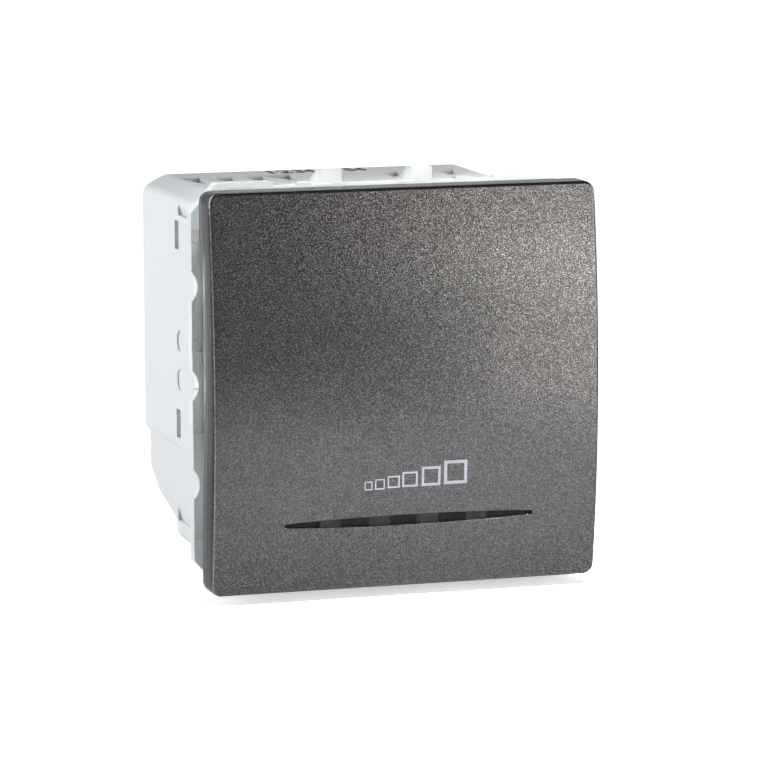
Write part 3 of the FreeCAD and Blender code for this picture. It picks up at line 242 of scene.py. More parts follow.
class StudioSettings(bpy.types.PropertyGroup):
    """Brightness of the studio."""

    left: bpy.props.FloatProperty(
        name="Left", description="Power of the lamp on the left", default=0.05, unit="POWER"
    )
    behind: bpy.props.FloatProperty(
        name="Behind", description="Power of the lamp behind on the left", default=2.15, unit="POWER"
    )
    above: bpy.props.FloatProperty(
        name="Above", description="Power of the lamp above and behind", default=0.15, unit="POWER"
    )
    right: bpy.props.FloatProperty(
        name="Right",
        description="Power that the near lamps on the right share",
        default=0.36,
        unit="POWER",
    )
    fill: bpy.props.FloatProperty(name="Fill", description="Strength of the surrounding light", default=0.0)
    glow: bpy.props.FloatProperty(
        name="Floor glow",
        description="Part of the floor's white seen directly, near the object",
        default=0.55,
    )


def grid_faces(rows, columns, close_rows=False, close_columns=False):
    """Quads of a grid of rows x columns points: each joins a point to its next in both directions."""
    r = np.arange(rows if close_rows else rows - 1)
    c = np.arange(columns if close_columns else columns - 1)
    low, left = np.meshgrid(r, c, indexing="ij")
    high = (low + 1) % rows
    right = (left + 1) % columns
    quads = [low * columns + left, low * columns + right, high * columns + right, high * columns + left]
    return np.stack(quads, axis=-1).reshape(-1, 4)


def box_part(low, high):
    """Plain block between two corners."""
    x, y, z = zip(low, high)
    points = [(x[i], y[j], z[k]) for i in (0, 1) for j in (0, 1) for k in (0, 1)]
    faces = [(0, 1, 3, 2), (4, 6, 7, 5), (0, 4, 5, 1), (2, 3, 7, 6), (0, 2, 6, 4), (1, 5, 7, 3)]
    return points, faces


def clean(mesh, gap=1e-7):
    """Merges doubled points, drops faces without area and turns the rest outwards."""
    work = bmesh.new()
    work.from_mesh(mesh)
    bmesh.ops.remove_doubles(work, verts=work.verts, dist=gap)
    bmesh.ops.dissolve_degenerate(work, edges=work.edges, dist=gap)
    bmesh.ops.recalc_face_normals(work, faces=work.faces)
    work.to_mesh(mesh)
    work.free()
    mesh.validate()


def shade(mesh, sharp_angle=35.0):
    """Smooth shading, with edges sharper than an angle marked sharp."""
    mesh.polygons.foreach_set("use_smooth", np.ones(len(mesh.polygons), bool))
    mesh.set_sharp_from_angle(angle=math.radians(sharp_angle))
    mesh.update()


def mesh_piece(name, parts, finish, body="root", nodes=(), sharp_angle=35.0):
    """One piece from (points in mm, faces) parts, merged where they meet, with its finish and body."""
    grids = [np.asarray(points, float).reshape(-1, 3) for points, faces in parts]
    starts = np.cumsum([0] + [len(points) for points in grids])
    faces = [[int(start + i) for i in face] for start, part in zip(starts, parts) for face in part[1]]
    mesh = bpy.data.meshes.new(name)
    mesh.from_pydata((np.concatenate(grids) * MM).tolist(), [], faces)
    clean(mesh)
    shade(mesh, sharp_angle)
    piece = bpy.data.objects.new(name, mesh)
    bpy.context.scene.collection.objects.link(piece)
    return dress(piece, finish, body, nodes)


def dress(piece, finish, body, nodes=()):
    """Gives a piece its finish, the body it rides on and the CAD nodes that it stands for."""
    piece.data.materials.clear()
    piece.data.materials.append(finish)
    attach(piece, body)
    if nodes:
        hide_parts(*nodes)
    return piece


def tree_node(tree, kind, inputs=None, **settings):
    """Adds a shader node; an input that is a socket is linked, and any other is set."""
    made = tree.nodes.new(kind)
    for key, value in settings.items():
        setattr(made, key, value)
    for key, value in (inputs or {}).items():
        if isinstance(value, bpy.types.NodeSocket):
            tree.links.new(value, made.inputs[key])
        else:
            made.inputs[key].default_value = value
    return made


def new_finish(name, colour, roughness, **sockets):
    """Material with a Principled shader; returns the material, its tree, shader and object coordinates."""
    made = bpy.data.materials.new(name)
    made.use_nodes = True
    tree = made.node_tree
    shader = tree.nodes["Principled BSDF"]
    shader.inputs["Base Color"].default_value = (*colour, 1)
    shader.inputs["Roughness"].default_value = roughness
    for socket, value in sockets.items():
        shader.inputs[socket.replace("_", " ")].default_value = value
    place = tree_node(tree, "ShaderNodeTexCoord").outputs["Object"]
    return made, tree, shader, place


def spread(tree, factor, low, high):
    """Maps a factor between 0 and 1 to a colour or grey between two ends."""
    ramp = tree_node(tree, "ShaderNodeMix", {"Factor": factor}, data_type="RGBA")
    ramp.inputs["A"].default_value = (*low, 1)
    ramp.inputs["B"].default_value = (*high, 1)
    return ramp.outputs["Result"]


def maths(tree, operation, first, second=0.0, clamp=False):
    """Result of one sum on two sockets or numbers."""
    made = tree_node(tree, "ShaderNodeMath", {0: first, 1: second}, operation=operation, use_clamp=clamp)
    return made.outputs[0]


def remap(tree, value, low, high, start=0.0, end=1.0):
    """Maps low..high in a straight line to start..end, and holds the ends beyond."""
    inputs = {"Value": value, "From Min": low, "From Max": high, "To Min": start, "To Max": end}
    return tree_node(tree, "ShaderNodeMapRange", inputs).outputs["Result"]


def within(tree, value, limits, start=0.0, end=1.0):
    """Maps a place between two limits in mm in a straight line to start..end."""
    return remap(tree, value, limits[0] * MM, limits[1] * MM, start, end)


def band(tree, value, low, high, soft):
    """1 while a value lies between two limits, falling to 0 over a soft edge outside them."""
    rise = remap(tree, value, low - soft, low)
    fall = remap(tree, value, high, high + soft, 1.0, 0.0)
    return maths(tree, "MULTIPLY", rise, fall)


def product(tree, *factors):
    """All factors multiplied."""
    result = factors[0]
    for factor in factors[1:]:
        result = maths(tree, "MULTIPLY", result, factor)
    return result


def noise(tree, place, scale, detail=3.0):
    """Soft noise between 0 and 1, about `scale` patches to a metre."""
    made = tree_node(tree, "ShaderNodeTexNoise", {"Vector": place, "Scale": scale, "Detail": detail})
    return made.outputs["Fac"]


def axes(tree, vector):
    """X, Y and Z of a vector."""
    return tree_node(tree, "ShaderNodeSeparateXYZ", {"Vector": vector}).outputs


def blend_colour(tree, factor, colour, other):
    """Mixes a colour socket with a fixed colour."""
    mix = tree_node(tree, "ShaderNodeMix", {"Factor": factor}, data_type="RGBA")
    tree.links.new(colour, mix.inputs["A"])
    mix.inputs["B"].default_value = (*other, 1)
    return mix.outputs["Result"]


def painted_edge_highlights(tree, place, normal):
    """Painted highlights: along the rounded side edges, most on the left, and on the slot's lip."""
    turned, at = axes(tree, normal), axes(tree, place)
    sideways = maths(tree, "ABSOLUTE", turned["X"])
    near_top = within(tree, at["Z"], HIGHLIGHT_TOP_Z, 0.0, 0.8)
    further_down = within(tree, at["Z"], HIGHLIGHT_SIDE_Z, 0.2, 0.26)
    left = remap(tree, turned["X"], -0.3, -0.2, 1.0, 0.0)
    right = product(tree, remap(tree, turned["X"], 0.1, 0.3), within(tree, at["Z"], HIGHLIGHT_RIGHT_Z), 0.6)
    side = product(
        tree,
        band(tree, sideways, 0.3, 0.6, 0.14),
        remap(tree, turned["Y"], -0.25, -0.4),
        maths(tree, "MAXIMUM", left, right),
        maths(tree, "MAXIMUM", near_top, further_down),
        remap(tree, noise(tree, place, 4000.0), 0.35, 0.65, 0.5, 1.4),
    )
    tip = band(tree, at["X"], HIGHLIGHT_TIP_X[0] * MM, HIGHLIGHT_TIP_X[1] * MM, 0.1 * MM)
    lip = product(
        tree,
        remap(tree, turned["Z"], 0.15, 0.4),
        band(tree, at["Z"], (SLOT_Z - SLOT_RISE - 0.15) * MM, SLOT_Z * MM, 0.02 * MM),
        remap(tree, turned["Y"], -0.1, -0.3),
        maths(tree, "MAXIMUM", within(tree, at["X"], HIGHLIGHT_LIP_X, 0.0, 0.05), tip),
    )
    return maths(tree, "MAXIMUM", side, lip)


def painted_shade_zones(tree, place, normal):
    """Painted shade on the top edge, the right edge, the slot's wall and the level top, from 0 to 1.

    Returns all of them together, and the right edge's painted shadow line alone.
    """
    turned, at = axes(tree, normal), axes(tree, place)
    rounded = band(tree, turned["Z"], 0.42, 0.86, 0.16)
    straight = remap(tree, maths(tree, "ABSOLUTE", turned["X"]), 0.2, 0.4, 1.0, 0.0)
    # Painted dark reflection along the rounded top edge
    top_line = product(tree, rounded, straight, within(tree, at["Z"], SHADE_LINE_Z))
    front = remap(tree, turned["Y"], -0.1, -0.2)
    # Painted shadow line along the right edge
    right_edge_shade = maths(tree, "MULTIPLY", remap(tree, turned["X"], 0.55, 0.75), front)
    # Painted shade on the slot's wall
    in_slot = product(
        tree,
        band(tree, at["Z"], (SLOT_Z - SLOT_RISE) * MM, (SLOT_Z + SLOT_RISE) * MM, 0.05 * MM),
        within(tree, maths(tree, "ABSOLUTE", at["X"]), SLOT_SHADE_X, 1.0, 0.0),
        remap(tree, at["Y"], SLOT_WALL_Y * MM, (SLOT_WALL_Y + 0.06) * MM),
    )
    # Painted shade on the level top
    level_top = remap(tree, turned["Z"], 0.85, 0.95, 0.0, 0.2)
    dark = maths(tree, "MAXIMUM", maths(tree, "MAXIMUM", top_line, in_slot), right_edge_shade)
    return maths(tree, "MAXIMUM", dark, level_top), right_edge_shade


def flake_normal(tree, flake):
    """Surface normal leaned towards each flake's own random direction: its colour less a middle grey."""
    grey = (0.5, 0.5, 0.5)
    centred = tree_node(tree, "ShaderNodeVectorMath", {0: flake, 1: grey}, operation="SUBTRACT")
    lean = tree_node(
        tree, "ShaderNodeVectorMath", {0: centred.outputs[0], "Scale": FLAKE_LEAN}, operation="SCALE"
    )
    normal = tree_node(tree, "ShaderNodeNewGeometry").outputs["Normal"]
    leaned = tree_node(tree, "ShaderNodeVectorMath", {0: normal, 1: lean.outputs[0]}, operation="ADD")
    return tree_node(tree, "ShaderNodeVectorMath", {0: leaned.outputs[0]}, operation="NORMALIZE").outputs[0]


def graphite_paint():
    """Metallic flake paint: small cells, each with its own tilt and few of them bright.

    Its colour carries painted highlights along the rounded edges, and painted shade along the top edge, the
    right edge and the slot's wall, and a little on the level top; the right edge is also dull.
    """
    settings = bpy.context.scene.dimmer_finish
    tint = np.array(settings.key_tint)
    metallic, gloss = 0.85, 0.25
    made, tree, shader, place = new_finish(
        "graphite_paint", tint, 0.3, Metallic=metallic, Specular_IOR_Level=gloss
    )
    shader.inputs["Specular Tint"].default_value = (0.5, 0.5, 0.51, 1)
    cells = tree_node(tree, "ShaderNodeTexVoronoi", {"Vector": place, "Scale": 1 / settings.flake})
    flake = cells.outputs["Color"]
    channel = tree_node(tree, "ShaderNodeSeparateColor", {"Color": flake}).outputs
    rare = maths(tree, "POWER", channel["Red"], 3.0)
    colour = spread(tree, rare, tint * 0.4, tint * 2.8)
    turned = tree_node(tree, "ShaderNodeTexCoord").outputs["Normal"]
    dark, right_edge_shade = painted_shade_zones(tree, place, turned)
    # Painted highlights along the rounded edges and the slot's lip
    colour = blend_colour(tree, painted_edge_highlights(tree, place, turned), colour, HIGHLIGHT_COLOUR)
    # Painted shade on the top edge, the right edge, the slot's wall and the level top
    colour = blend_colour(tree, dark, colour, PAINTED_SHADE_COLOUR)
    for socket, value in (
        ("Base Color", colour),
        ("Roughness", remap(tree, channel["Green"], 0.0, 1.0, 0.235, 0.255)),
        # The right edge's painted shadow line is also made dull
        ("Metallic", remap(tree, right_edge_shade, 0.0, 1.0, metallic, 0.0)),
        ("Specular IOR Level", remap(tree, right_edge_shade, 0.0, 1.0, gloss, 0.0)),
        ("Normal", flake_normal(tree, flake)),
    ):
        tree.links.new(value, shader.inputs[socket])
    return made


def moulded_plastic(name, tint, roughness, edge=0.2, polished=()):
    """Moulded plastic: rounded edges, spark-eroded grain, and faint flow marks in colour and gloss.

    `edge` is the radius of the edges in mm. Each `polished` box gives the nearest and furthest x, y and z,
    on both sides of the middle, between which the side walls are smooth and painted brighter as a highlight.
    """
    tint = np.array(tint)
    made, tree, shader, place = new_finish(name, tint, roughness, Specular_IOR_Level=0.4)
    flow = noise(tree, place, 90.0, 4.0)
    colour = spread(tree, flow, tint * 0.96, np.minimum(tint * 1.03, 1))
    rough = remap(tree, flow, 0.0, 1.0, roughness - 0.08, roughness + 0.08)
    rounded = tree_node(tree, "ShaderNodeBevel", {"Radius": edge * MM}, samples=6)
    bump = tree_node(
        tree, "ShaderNodeBump",
        {
            "Height": noise(tree, place, 7000.0, 2.0), "Strength": 0.25, "Distance": 0.04 * MM,
            "Normal": rounded.outputs["Normal"],
        },
    )
    tree.links.new(bump.outputs["Normal"], shader.inputs["Normal"])
    if polished:
        at = axes(tree, place)
        outward = axes(tree, tree_node(tree, "ShaderNodeTexCoord").outputs["Normal"])["X"]
        outward = remap(tree, maths(tree, "ABSOLUTE", outward), 0.5, 0.6)
        values = (maths(tree, "ABSOLUTE", at["X"]), at["Y"], at["Z"])
        for limits in polished:
            smooth = outward
            for value, (low, high) in zip(values, limits):
                smooth = product(tree, smooth, band(tree, value, low * MM, high * MM, 0.02 * MM))
            # Painted highlight: the smooth bands are painted nearly white, and their roughness is halved
            colour = blend_colour(tree, smooth, colour, (0.97, 0.97, 0.97))
            rough = maths(tree, "MULTIPLY", rough, remap(tree, smooth, 0.0, 1.0, 1.0, 0.5))
    tree.links.new(colour, shader.inputs["Base Color"])
    tree.links.new(rough, shader.inputs["Roughness"])
    return made


def metal(name, tint, roughness):
    """Drawn or plated metal: fine streaks in roughness and bump, and a slight stain in the colour."""
    tint = np.array(tint)
    made, tree, shader, place = new_finish(name, tint, roughness, Metallic=1.0)
    drawn = tree_node(tree, "ShaderNodeMapping", {"Vector": place, "Scale": (1.0, 0.06, 1.0)})
    streak = noise(tree, drawn.outputs["Vector"], 6000.0)
    colour = spread(tree, noise(tree, place, 400.0), tint * 0.85, np.minimum(tint * 1.1, 1))
    tree.links.new(colour, shader.inputs["Base Color"])
    rough = remap(tree, streak, 0.0, 1.0, roughness * 0.7, roughness * 1.4)
    tree.links.new(rough, shader.inputs["Roughness"])
    bump = tree_node(tree, "ShaderNodeBump", {"Height": streak, "Strength": 0.2, "Distance": 0.01 * MM})
    tree.links.new(bump.outputs["Normal"], shader.inputs["Normal"])
    return made


def clear_plastic():
    """Clear acrylic with faint waves and small dust marks in its gloss."""
    made, tree, shader, place = new_finish(
        "clear_plastic", (0.95, 0.97, 0.97), 0.08, Transmission_Weight=1.0, IOR=1.49
    )
    tree.links.new(remap(tree, noise(tree, place, 900.0), 0.3, 0.8, 0.03, 0.25), shader.inputs["Roughness"])
    bump = tree_node(
        tree, "ShaderNodeBump", {"Height": noise(tree, place, 300.0), "Strength": 0.1, "Distance": 0.05 * MM}
    )
    tree.links.new(bump.outputs["Normal"], shader.inputs["Normal"])
    return made


def board_lacquer():
    """Green board: woven glass under lacquer, with paler copper tracks that show through it."""
    made, tree, shader, place = new_finish("board", (0.02, 0.12, 0.05), 0.3)
    at = axes(tree, place)
    weave = maths(
        tree, "MULTIPLY", maths(tree, "SINE", maths(tree, "MULTIPLY", at["X"], 12000.0)),
        maths(tree, "SINE", maths(tree, "MULTIPLY", at["Z"], 12000.0)),
    )
    tracks = tree_node(
        tree, "ShaderNodeTexBrick",
        {
            "Vector": tree_node(tree, "ShaderNodeCombineXYZ", {"X": at["X"], "Y": at["Z"]}).outputs[0],
            "Scale": 160.0, "Mortar Size": 0.05, "Mortar Smooth": 0.0,
        },
    )
    copper = remap(tree, tracks.outputs["Fac"], 0.0, 1.0)
    colour = spread(tree, noise(tree, place, 500.0), (0.012, 0.085, 0.035), (0.022, 0.13, 0.055))
    tree.links.new(blend_colour(tree, copper, colour, (0.06, 0.24, 0.08)), shader.inputs["Base Color"])
    tree.links.new(remap(tree, noise(tree, place, 1500.0), 0.3, 0.7, 0.22, 0.38), shader.inputs["Roughness"])
    bump = tree_node(tree, "ShaderNodeBump", {"Height": weave, "Strength": 0.15, "Distance": 0.02 * MM})
    tree.links.new(bump.outputs["Normal"], shader.inputs["Normal"])
    return made


def smoky_plastic():
    """Smoky plastic: nearly black where it is sunk, and greyer on the raised bars, with a cloudy gloss."""
    dark, light = np.array((0.003, 0.003, 0.0035)), np.array((0.016, 0.0155, 0.015))
    made, tree, shader, place = new_finish("smoky_plastic", dark, 0.2, Specular_IOR_Level=0.05)
    raised = remap(tree, axes(tree, place)["Y"], INSERT_Y * MM, (INSERT_Y - BAR_RISE) * MM)
    cloud = noise(tree, place, 900.0)
    share = maths(tree, "MULTIPLY", raised, remap(tree, cloud, 0.0, 1.0, 0.6, 1.25), clamp=True)
    tree.links.new(spread(tree, share, dark, light), shader.inputs["Base Color"])
    tree.links.new(remap(tree, cloud, 0.0, 1.0, 0.18, 0.35), shader.inputs["Roughness"])
    return made


def silver_ink():
    """Matt printed ink with a fine grain at its surface."""
    tint = np.array(bpy.context.scene.dimmer_finish.print_tint)
    made, tree, shader, place = new_finish("silver_ink", tint, 0.5)
    colour = spread(tree, noise(tree, place, 9000.0, 2.0), tint * 0.8, np.minimum(tint * 1.15, 1))
    tree.links.new(colour, shader.inputs["Base Color"])
    return made


def face_y(z, depth=0.0):
    """Key's curved face: a cylinder about an axis along X, so y follows from the height alone."""
    return FACE_AXIS_Y - np.sqrt((FACE_R - depth) ** 2 - np.square(z))


def skirt_y(z):
    """Rear edge of the key's skirt: deep at the ears, a step to the waist, then a curve to the foot."""
    ear_start, ear_length, ear_deep = EAR
    foot_start, foot_length, foot_deep, power = FOOT
    ear = np.clip((z - ear_start) / ear_length, 0, 1)
    ear = ear * ear * (3 - 2 * ear)
    foot = np.clip((foot_start - z) / foot_length, 0, 1)
    foot = 1 - (1 - foot) ** power
    return EDGE_Y + WAIST + ear_deep * ear + foot_deep * foot


def run(start, end, count):
    """Points of a straight run, without its end."""
    t = np.arange(count)[:, None] / count
    return np.asarray(start, float) * (1 - t) + np.asarray(end, float) * t


def arc(middle, radius, start, end, count):
    """Points of an arc in the plane, angles in degrees, without its end."""
    t = np.radians(start + (end - start) * np.arange(count) / count)
    return np.stack([middle[0] + radius * np.cos(t), middle[1] + radius * np.sin(t)], axis=-1)


def key_ring(inset):
    """Rounded square of the key's outline, moved inwards, as one closed line of (x, z) points.

    It starts in the middle of the top left corner and goes right, down, left and up again, with the same
    number of points on each side, so that rings of any inset join point to point.
    """
    h = HALF - inset
    r = max(KEY_CORNER - inset, 0.02)
    m = h - r
    n = CORNER_CELLS
    high, low = SIDE_CELLS
    runs = [
        arc((-m, m), r, 135, 90, n), run((-m, h), (m, h), high + low), arc((m, m), r, 90, 0, 2 * n),
        run((h, m), (h, SLOT_Z), high), run((h, SLOT_Z), (h, -m), low), arc((m, -m), r, 0, -90, 2 * n),
        run((m, -h), (-m, -h), high + low), arc((-m, -m), r, -90, -180, 2 * n),
        run((-h, -m), (-h, SLOT_Z), low), run((-h, SLOT_Z), (-h, m), high), arc((-m, m), r, 180, 135, n),
    ]
    return np.concatenate(runs)


def coons(bottom, top, left, right):
    """Patch between four boundary lines: the two straight blends added, less the blend of the corners."""
    u = np.linspace(0, 1, len(bottom))[None, :, None]
    v = np.linspace(0, 1, len(left))[:, None, None]
    across = (1 - v) * bottom[None] + v * top[None]
    along = (1 - u) * left[:, None] + u * right[:, None]
    low = (1 - u) * (1 - v) * bottom[0] + u * (1 - v) * bottom[-1]
    corners = low + (1 - u) * v * top[0] + u * v * top[-1]
    return across + along - corners


def slot_line(sign, inset, narrow=0.0):
    """Upper or lower edge of the lens-shaped slot, carried on in a straight line to the key's edges.

    Within the slot it is a circular arc of the slot's length and half height, moved inwards by `narrow`.
    """
    edge = HALF - inset
    outside, inside, _ = SLOT_CELLS
    left = np.linspace(-edge, -SLOT_HALF, outside + 1)[:-1]
    tip = SLOT_END * np.array([0, 0.08, 0.3, 0.6])
    middle = np.linspace(SLOT_END - SLOT_HALF, SLOT_HALF - SLOT_END, inside - 2 * len(tip) + 1)
    middle = np.concatenate([tip - SLOT_HALF, middle, (SLOT_HALF - tip[1:])[::-1]])
    x = np.concatenate([left, middle, [SLOT_HALF], -left[::-1]])
    crown = SLOT_RISE - SLOT_END
    radius = (SLOT_HALF**2 + crown**2) / (2 * crown)
    rise = SLOT_END + np.sqrt(np.clip(radius**2 - x**2, 0, None)) - (radius - crown)
    to_end = np.clip((SLOT_HALF - np.abs(x)) / SLOT_END, 0, 1)
    rise = rise * np.sqrt(1 - (1 - to_end) ** 2)
    rise = rise - narrow * np.clip(rise / SLOT_END, 0, 1)
    x = x + SLOT_X * np.clip((edge - np.abs(x)) / (edge - SLOT_HALF), 0, 1)
    return np.stack([x, SLOT_Z + sign * rise], axis=-1)


def on_face(flat, depth):
    """Lifts (x, z) points onto the key's face, or the surface some depth under it."""
    return np.stack([flat[..., 0], face_y(flat[..., 1], depth), flat[..., 1]], axis=-1)


def key_face(inset, depth, narrow=0.0):
    """The two patches of the key's face, above and below the slot, as grids of points."""
    around = key_ring(inset)
    around = np.concatenate([around, around[:1]])
    n = 2 * CORNER_CELLS + sum(SIDE_CELLS)
    split = CORNER_CELLS + SIDE_CELLS[0]
    top, right = around[: n + 1], around[n : 2 * n + 1]
    bottom, left = around[2 * n : 3 * n + 1][::-1], around[3 * n :][::-1]
    upper_line, lower_line = slot_line(1, inset, narrow), slot_line(-1, inset, narrow)
    upper = coons(upper_line, top, left[: split + 1][::-1], right[: split + 1][::-1])
    lower = coons(bottom, lower_line, left[split:][::-1], right[split:][::-1])
    return on_face(upper, depth), on_face(lower, depth)


def key_shell_parts():
    """Outer face, rounded edge, skirt, inner wall, inner face and the slot's walls of the key."""
    settings = bpy.context.scene.dimmer_key
    edge, lip, thick, wall = settings.edge / MM, settings.lip / MM, settings.face / MM, settings.wall / MM
    rings = []
    for angle in np.radians(np.linspace(0, 90, 6)):
        flat = key_ring(edge * (1 - math.sin(angle)))
        rings.append(on_face(flat, 0) + np.array([0, edge * (1 - math.cos(angle)), 0]))
    outer = key_ring(0)
    top, rear = rings[-1][:, 1], skirt_y(outer[:, 1])
    for share in (0.3, 0.6, 1.0):
        y = top + (rear - BRIM - top) * share
        rings.append(np.stack([outer[:, 0], y, outer[:, 1]], axis=-1))
    for inset, back in ((BRIM * 0.3, BRIM * 0.3), (BRIM, 0), (wall - BRIM, 0), (wall, BRIM)):
        flat = key_ring(inset)
        rings.append(np.stack([flat[:, 0], skirt_y(outer[:, 1]) - back, flat[:, 1]], axis=-1))
    rings.append(on_face(key_ring(wall), thick))
    rings = np.stack(rings)
    parts = [(rings, grid_faces(*rings.shape[:2], close_columns=True))]
    fronts = key_face(edge, 0)
    backs = key_face(wall, thick, lip)
    for grid in fronts + backs:
        parts.append((grid, grid_faces(*grid.shape[:2])))
    start, count = SLOT_CELLS[0], SLOT_CELLS[1] + 1
    for sign, front, back in ((1, fronts[0][0], backs[0][0]), (-1, fronts[1][-1], backs[1][-1])):
        rows = [front]
        for turn in np.radians((22.5, 45, 67.5, 90)):
            flat = slot_line(sign, edge, lip * math.sin(turn))
            rows.append(on_face(flat, 0) + np.array([0, lip * (1 - math.cos(turn)), 0]))
        rows.append(back)
        rows = np.stack(rows)[:, start : start + count]
        parts.append((rows, grid_faces(*rows.shape[:2])))
    return parts


def column(outline, ends, across):
    """Solid whose outline runs along an axis, narrowed at each end so that its rims are rounded.

    A point is base + (1 - inset / reach) * (point - middle), for rings at a few places along the axis.
    `across` puts (first, second, along) values into x, y and z.
    """
    outline = np.asarray(outline, float)
    middle = outline.mean(axis=0)
    reach = np.abs(outline - middle).max()
    low, high = ends
    soft = min(ROUNDING, (high - low) / 4)
    rows = []
    steps = ((0, soft), (soft * 0.3, soft * 0.3), (soft, 0))
    places = [(low + back, inset) for back, inset in steps]
    places += [(high - back, inset) for back, inset in reversed(steps)]
    for along, inset in places:
        flat = middle + (outline - middle) * (1 - inset / reach)
        rows.append(np.column_stack([flat, np.full(len(flat), along)]))
    return tube_part(np.stack(rows)[..., list(across)])


def circle(middle, radius, count=32):
    """Points of a full circle in the plane."""
    return arc(middle, radius, 0, 360, count)


def key_inside_parts():
    """Ribs, hinge lugs with pins, hooks and boss, which all start inside the wall of the key's face."""
    start = EDGE_Y - LUG_ROOT
    parts = []
    along_x, along_y = (2, 0, 1), (0, 2, 1)
    x0, x1, rear, low, high = RIB
    lug0, lug1, lug_r = LUG
    y, z = HINGE
    below, above = z - lug_r, z + lug_r
    tongue = np.concatenate([[(start, below)], arc(HINGE, lug_r, -90, 90, 16), [(y, above), (start, above)]])
    rib_start = EDGE_Y - RIB_ROOT
    rib = [(rib_start, low), (rear, low + RIB_SLOPE), (rear, high - RIB_SLOPE), (rib_start, high)]
    foot = start + HOOK_FOOT
    hook = [(back, height) for height, back in HOOK_SIDE]
    hook = [(foot, hook[0][1])] + hook + [(foot, hook[-1][1])]
    for sign in (-1, 1):
        for outline, ends in (
            (rib, (x0, x1)),
            (tongue, (lug0, lug1)),
            (circle(HINGE, PIN[1]), (lug1 - PIN_ROOT, PIN[0])),
            (hook, HOOK_X),
        ):
            parts.append(column(outline, sorted((sign * ends[0], sign * ends[1])), along_x))
    parts.append(column(circle((0, BOSS[2]), BOSS[0]), (EDGE_Y - BOSS_ROOT, BOSS[1]), along_y))
    return parts


def tube_part(rows):
    """Closed tube from rings of points along a line, with a flat face over each end."""
    length, count = rows.shape[:2]
    last = (length - 1) * count
    caps = [list(range(count))[::-1], list(range(last, last + count))]
    return rows, [list(face) for face in grid_faces(length, count, close_columns=True)] + caps


def squared(wave):
    """Wave between -1 and 1 pressed flat at its ends, so that a circle becomes a rounded square."""
    return np.sign(wave) * np.abs(wave) ** TURN_POWER


def winding_parts():
    """Wire wound round the ring core.

    Its line is a helix bent round the ring: an angle round the ring that grows evenly, and an angle round
    the core's section that grows TURNS times as fast, on a rounded rectangle. The wire's section is carried
    along it on the normal that points out of the core and the binormal.
    """
    t = np.linspace(0, 1, TURNS * TURN_STEPS + 1)
    inner, outer = CORE_RADII
    ring = (inner + outer) / 2
    half = (outer - inner) / 2 + WIRE_R + WIRE_GAP
    deep = CORE_HALF + WIRE_R + WIRE_GAP
    angle = np.radians(-90 + OPENING / 2 + (360 - OPENING) * t)
    turn = 2 * np.pi * TURNS * t
    radius = ring + half * squared(np.cos(turn))
    line = np.stack([radius * np.cos(angle), deep * squared(np.sin(turn)), radius * np.sin(angle)], axis=-1)
    middle = np.stack([np.cos(angle), np.zeros_like(t), np.sin(angle)], axis=-1) * ring
    along = np.gradient(line, axis=0)
    along /= np.linalg.norm(along, axis=1, keepdims=True)
    out = line - middle
    out -= along * np.sum(out * along, axis=1, keepdims=True)
    out /= np.linalg.norm(out, axis=1, keepdims=True)
    aside = np.cross(along, out)
    section = np.linspace(0, 2 * np.pi, WIRE_SIDES, endpoint=False)[None, :, None]
    rows = line[:, None] + WIRE_R * (np.cos(section) * out[:, None] + np.sin(section) * aside[:, None])
    rows = rows + np.array(CHOKE)
    return [tube_part(rows)]


def square_ring(left, right, low, high, line):
    """Outline of a printed square as a raised frame on the face: four rings, each of four corners."""
    middle = np.array([left + right, low + high]) / 2
    half = np.array([right - left, high - low]) / 2
    corners = np.array([(-1, -1), (1, -1), (1, 1), (-1, 1)], float)
    rows = []
    for size, lift in ((half - line, -INK_ROOT), (half - line, INK), (half, INK), (half, -INK_ROOT)):
        rows.append(on_face(corners * size + middle, 0) - np.array([0, lift, 0]))
    return np.stack(rows)


def insert_parts():
    """Lens-shaped insert in the slot: y = back - bar height, where smooth steps along x raise the bars."""
    line = slot_line(1, 0, INSERT_PLAY)
    inside = line[np.abs(line[:, 0] - SLOT_X) <= SLOT_HALF, 0]
    even = np.linspace(inside[0], inside[-1], BAR_CELLS)
    x = np.union1d(np.round(inside, 4), np.round(even, 4))
    rise = np.interp(x, line[:, 0], line[:, 1]) - SLOT_Z
    rise = np.maximum(rise, INSERT_LEAST)
    near = np.abs(x[:, None] - np.array(BAR_MIDDLES)[None])
    step = np.clip((BAR_HALF + BAR_SOFT - near.min(axis=1)) / (2 * BAR_SOFT), 0, 1)
    height = BAR_RISE * step * step * (3 - 2 * step)
    rows = []
    for share, back in ((-1, 0), (-1, 1), (-0.5, 1), (0, 1), (0.5, 1), (1, 1), (1, 0)):
        y = np.full(len(x), WINDOW_Y) if back == 0 else INSERT_Y - height
        rows.append(np.stack([x, y, SLOT_Z + share * rise], axis=-1))
    rows = np.stack(rows)
    return [(rows, grid_faces(*rows.shape[:2], close_rows=True))]


def ring_part(centre, radius, tube, around=28, section=6):
    """Thin ring round an axis along y.

    Its points are centre + (radius + tube cos s)(cos t, 0, sin t) + tube sin s (0, 1, 0).
    """
    t = np.linspace(0, 2 * np.pi, around, endpoint=False)[:, None]
    q = np.linspace(0, 2 * np.pi, section, endpoint=False)[None, :]
    out = radius + tube * np.cos(q)
    points = np.stack([out * np.cos(t), tube * np.sin(q) + 0 * t, out * np.sin(t)], axis=-1)
    return points + np.array(centre), grid_faces(around, section, True, True)


class DIMMER_OT_key_shell(bpy.types.Operator):
    """Builds the key: curved face, light slot, rounded edges and skirt"""

    bl_idname = "dimmer.key_shell"
    bl_label = "Key shell"

    def execute(self, context):
        finish = graphite_paint()
        mesh_piece("key_shell", key_shell_parts(), finish, "key", ["key_cover"])
        mesh_piece("key_inside", key_inside_parts(), finish, "key")
        return {"FINISHED"}


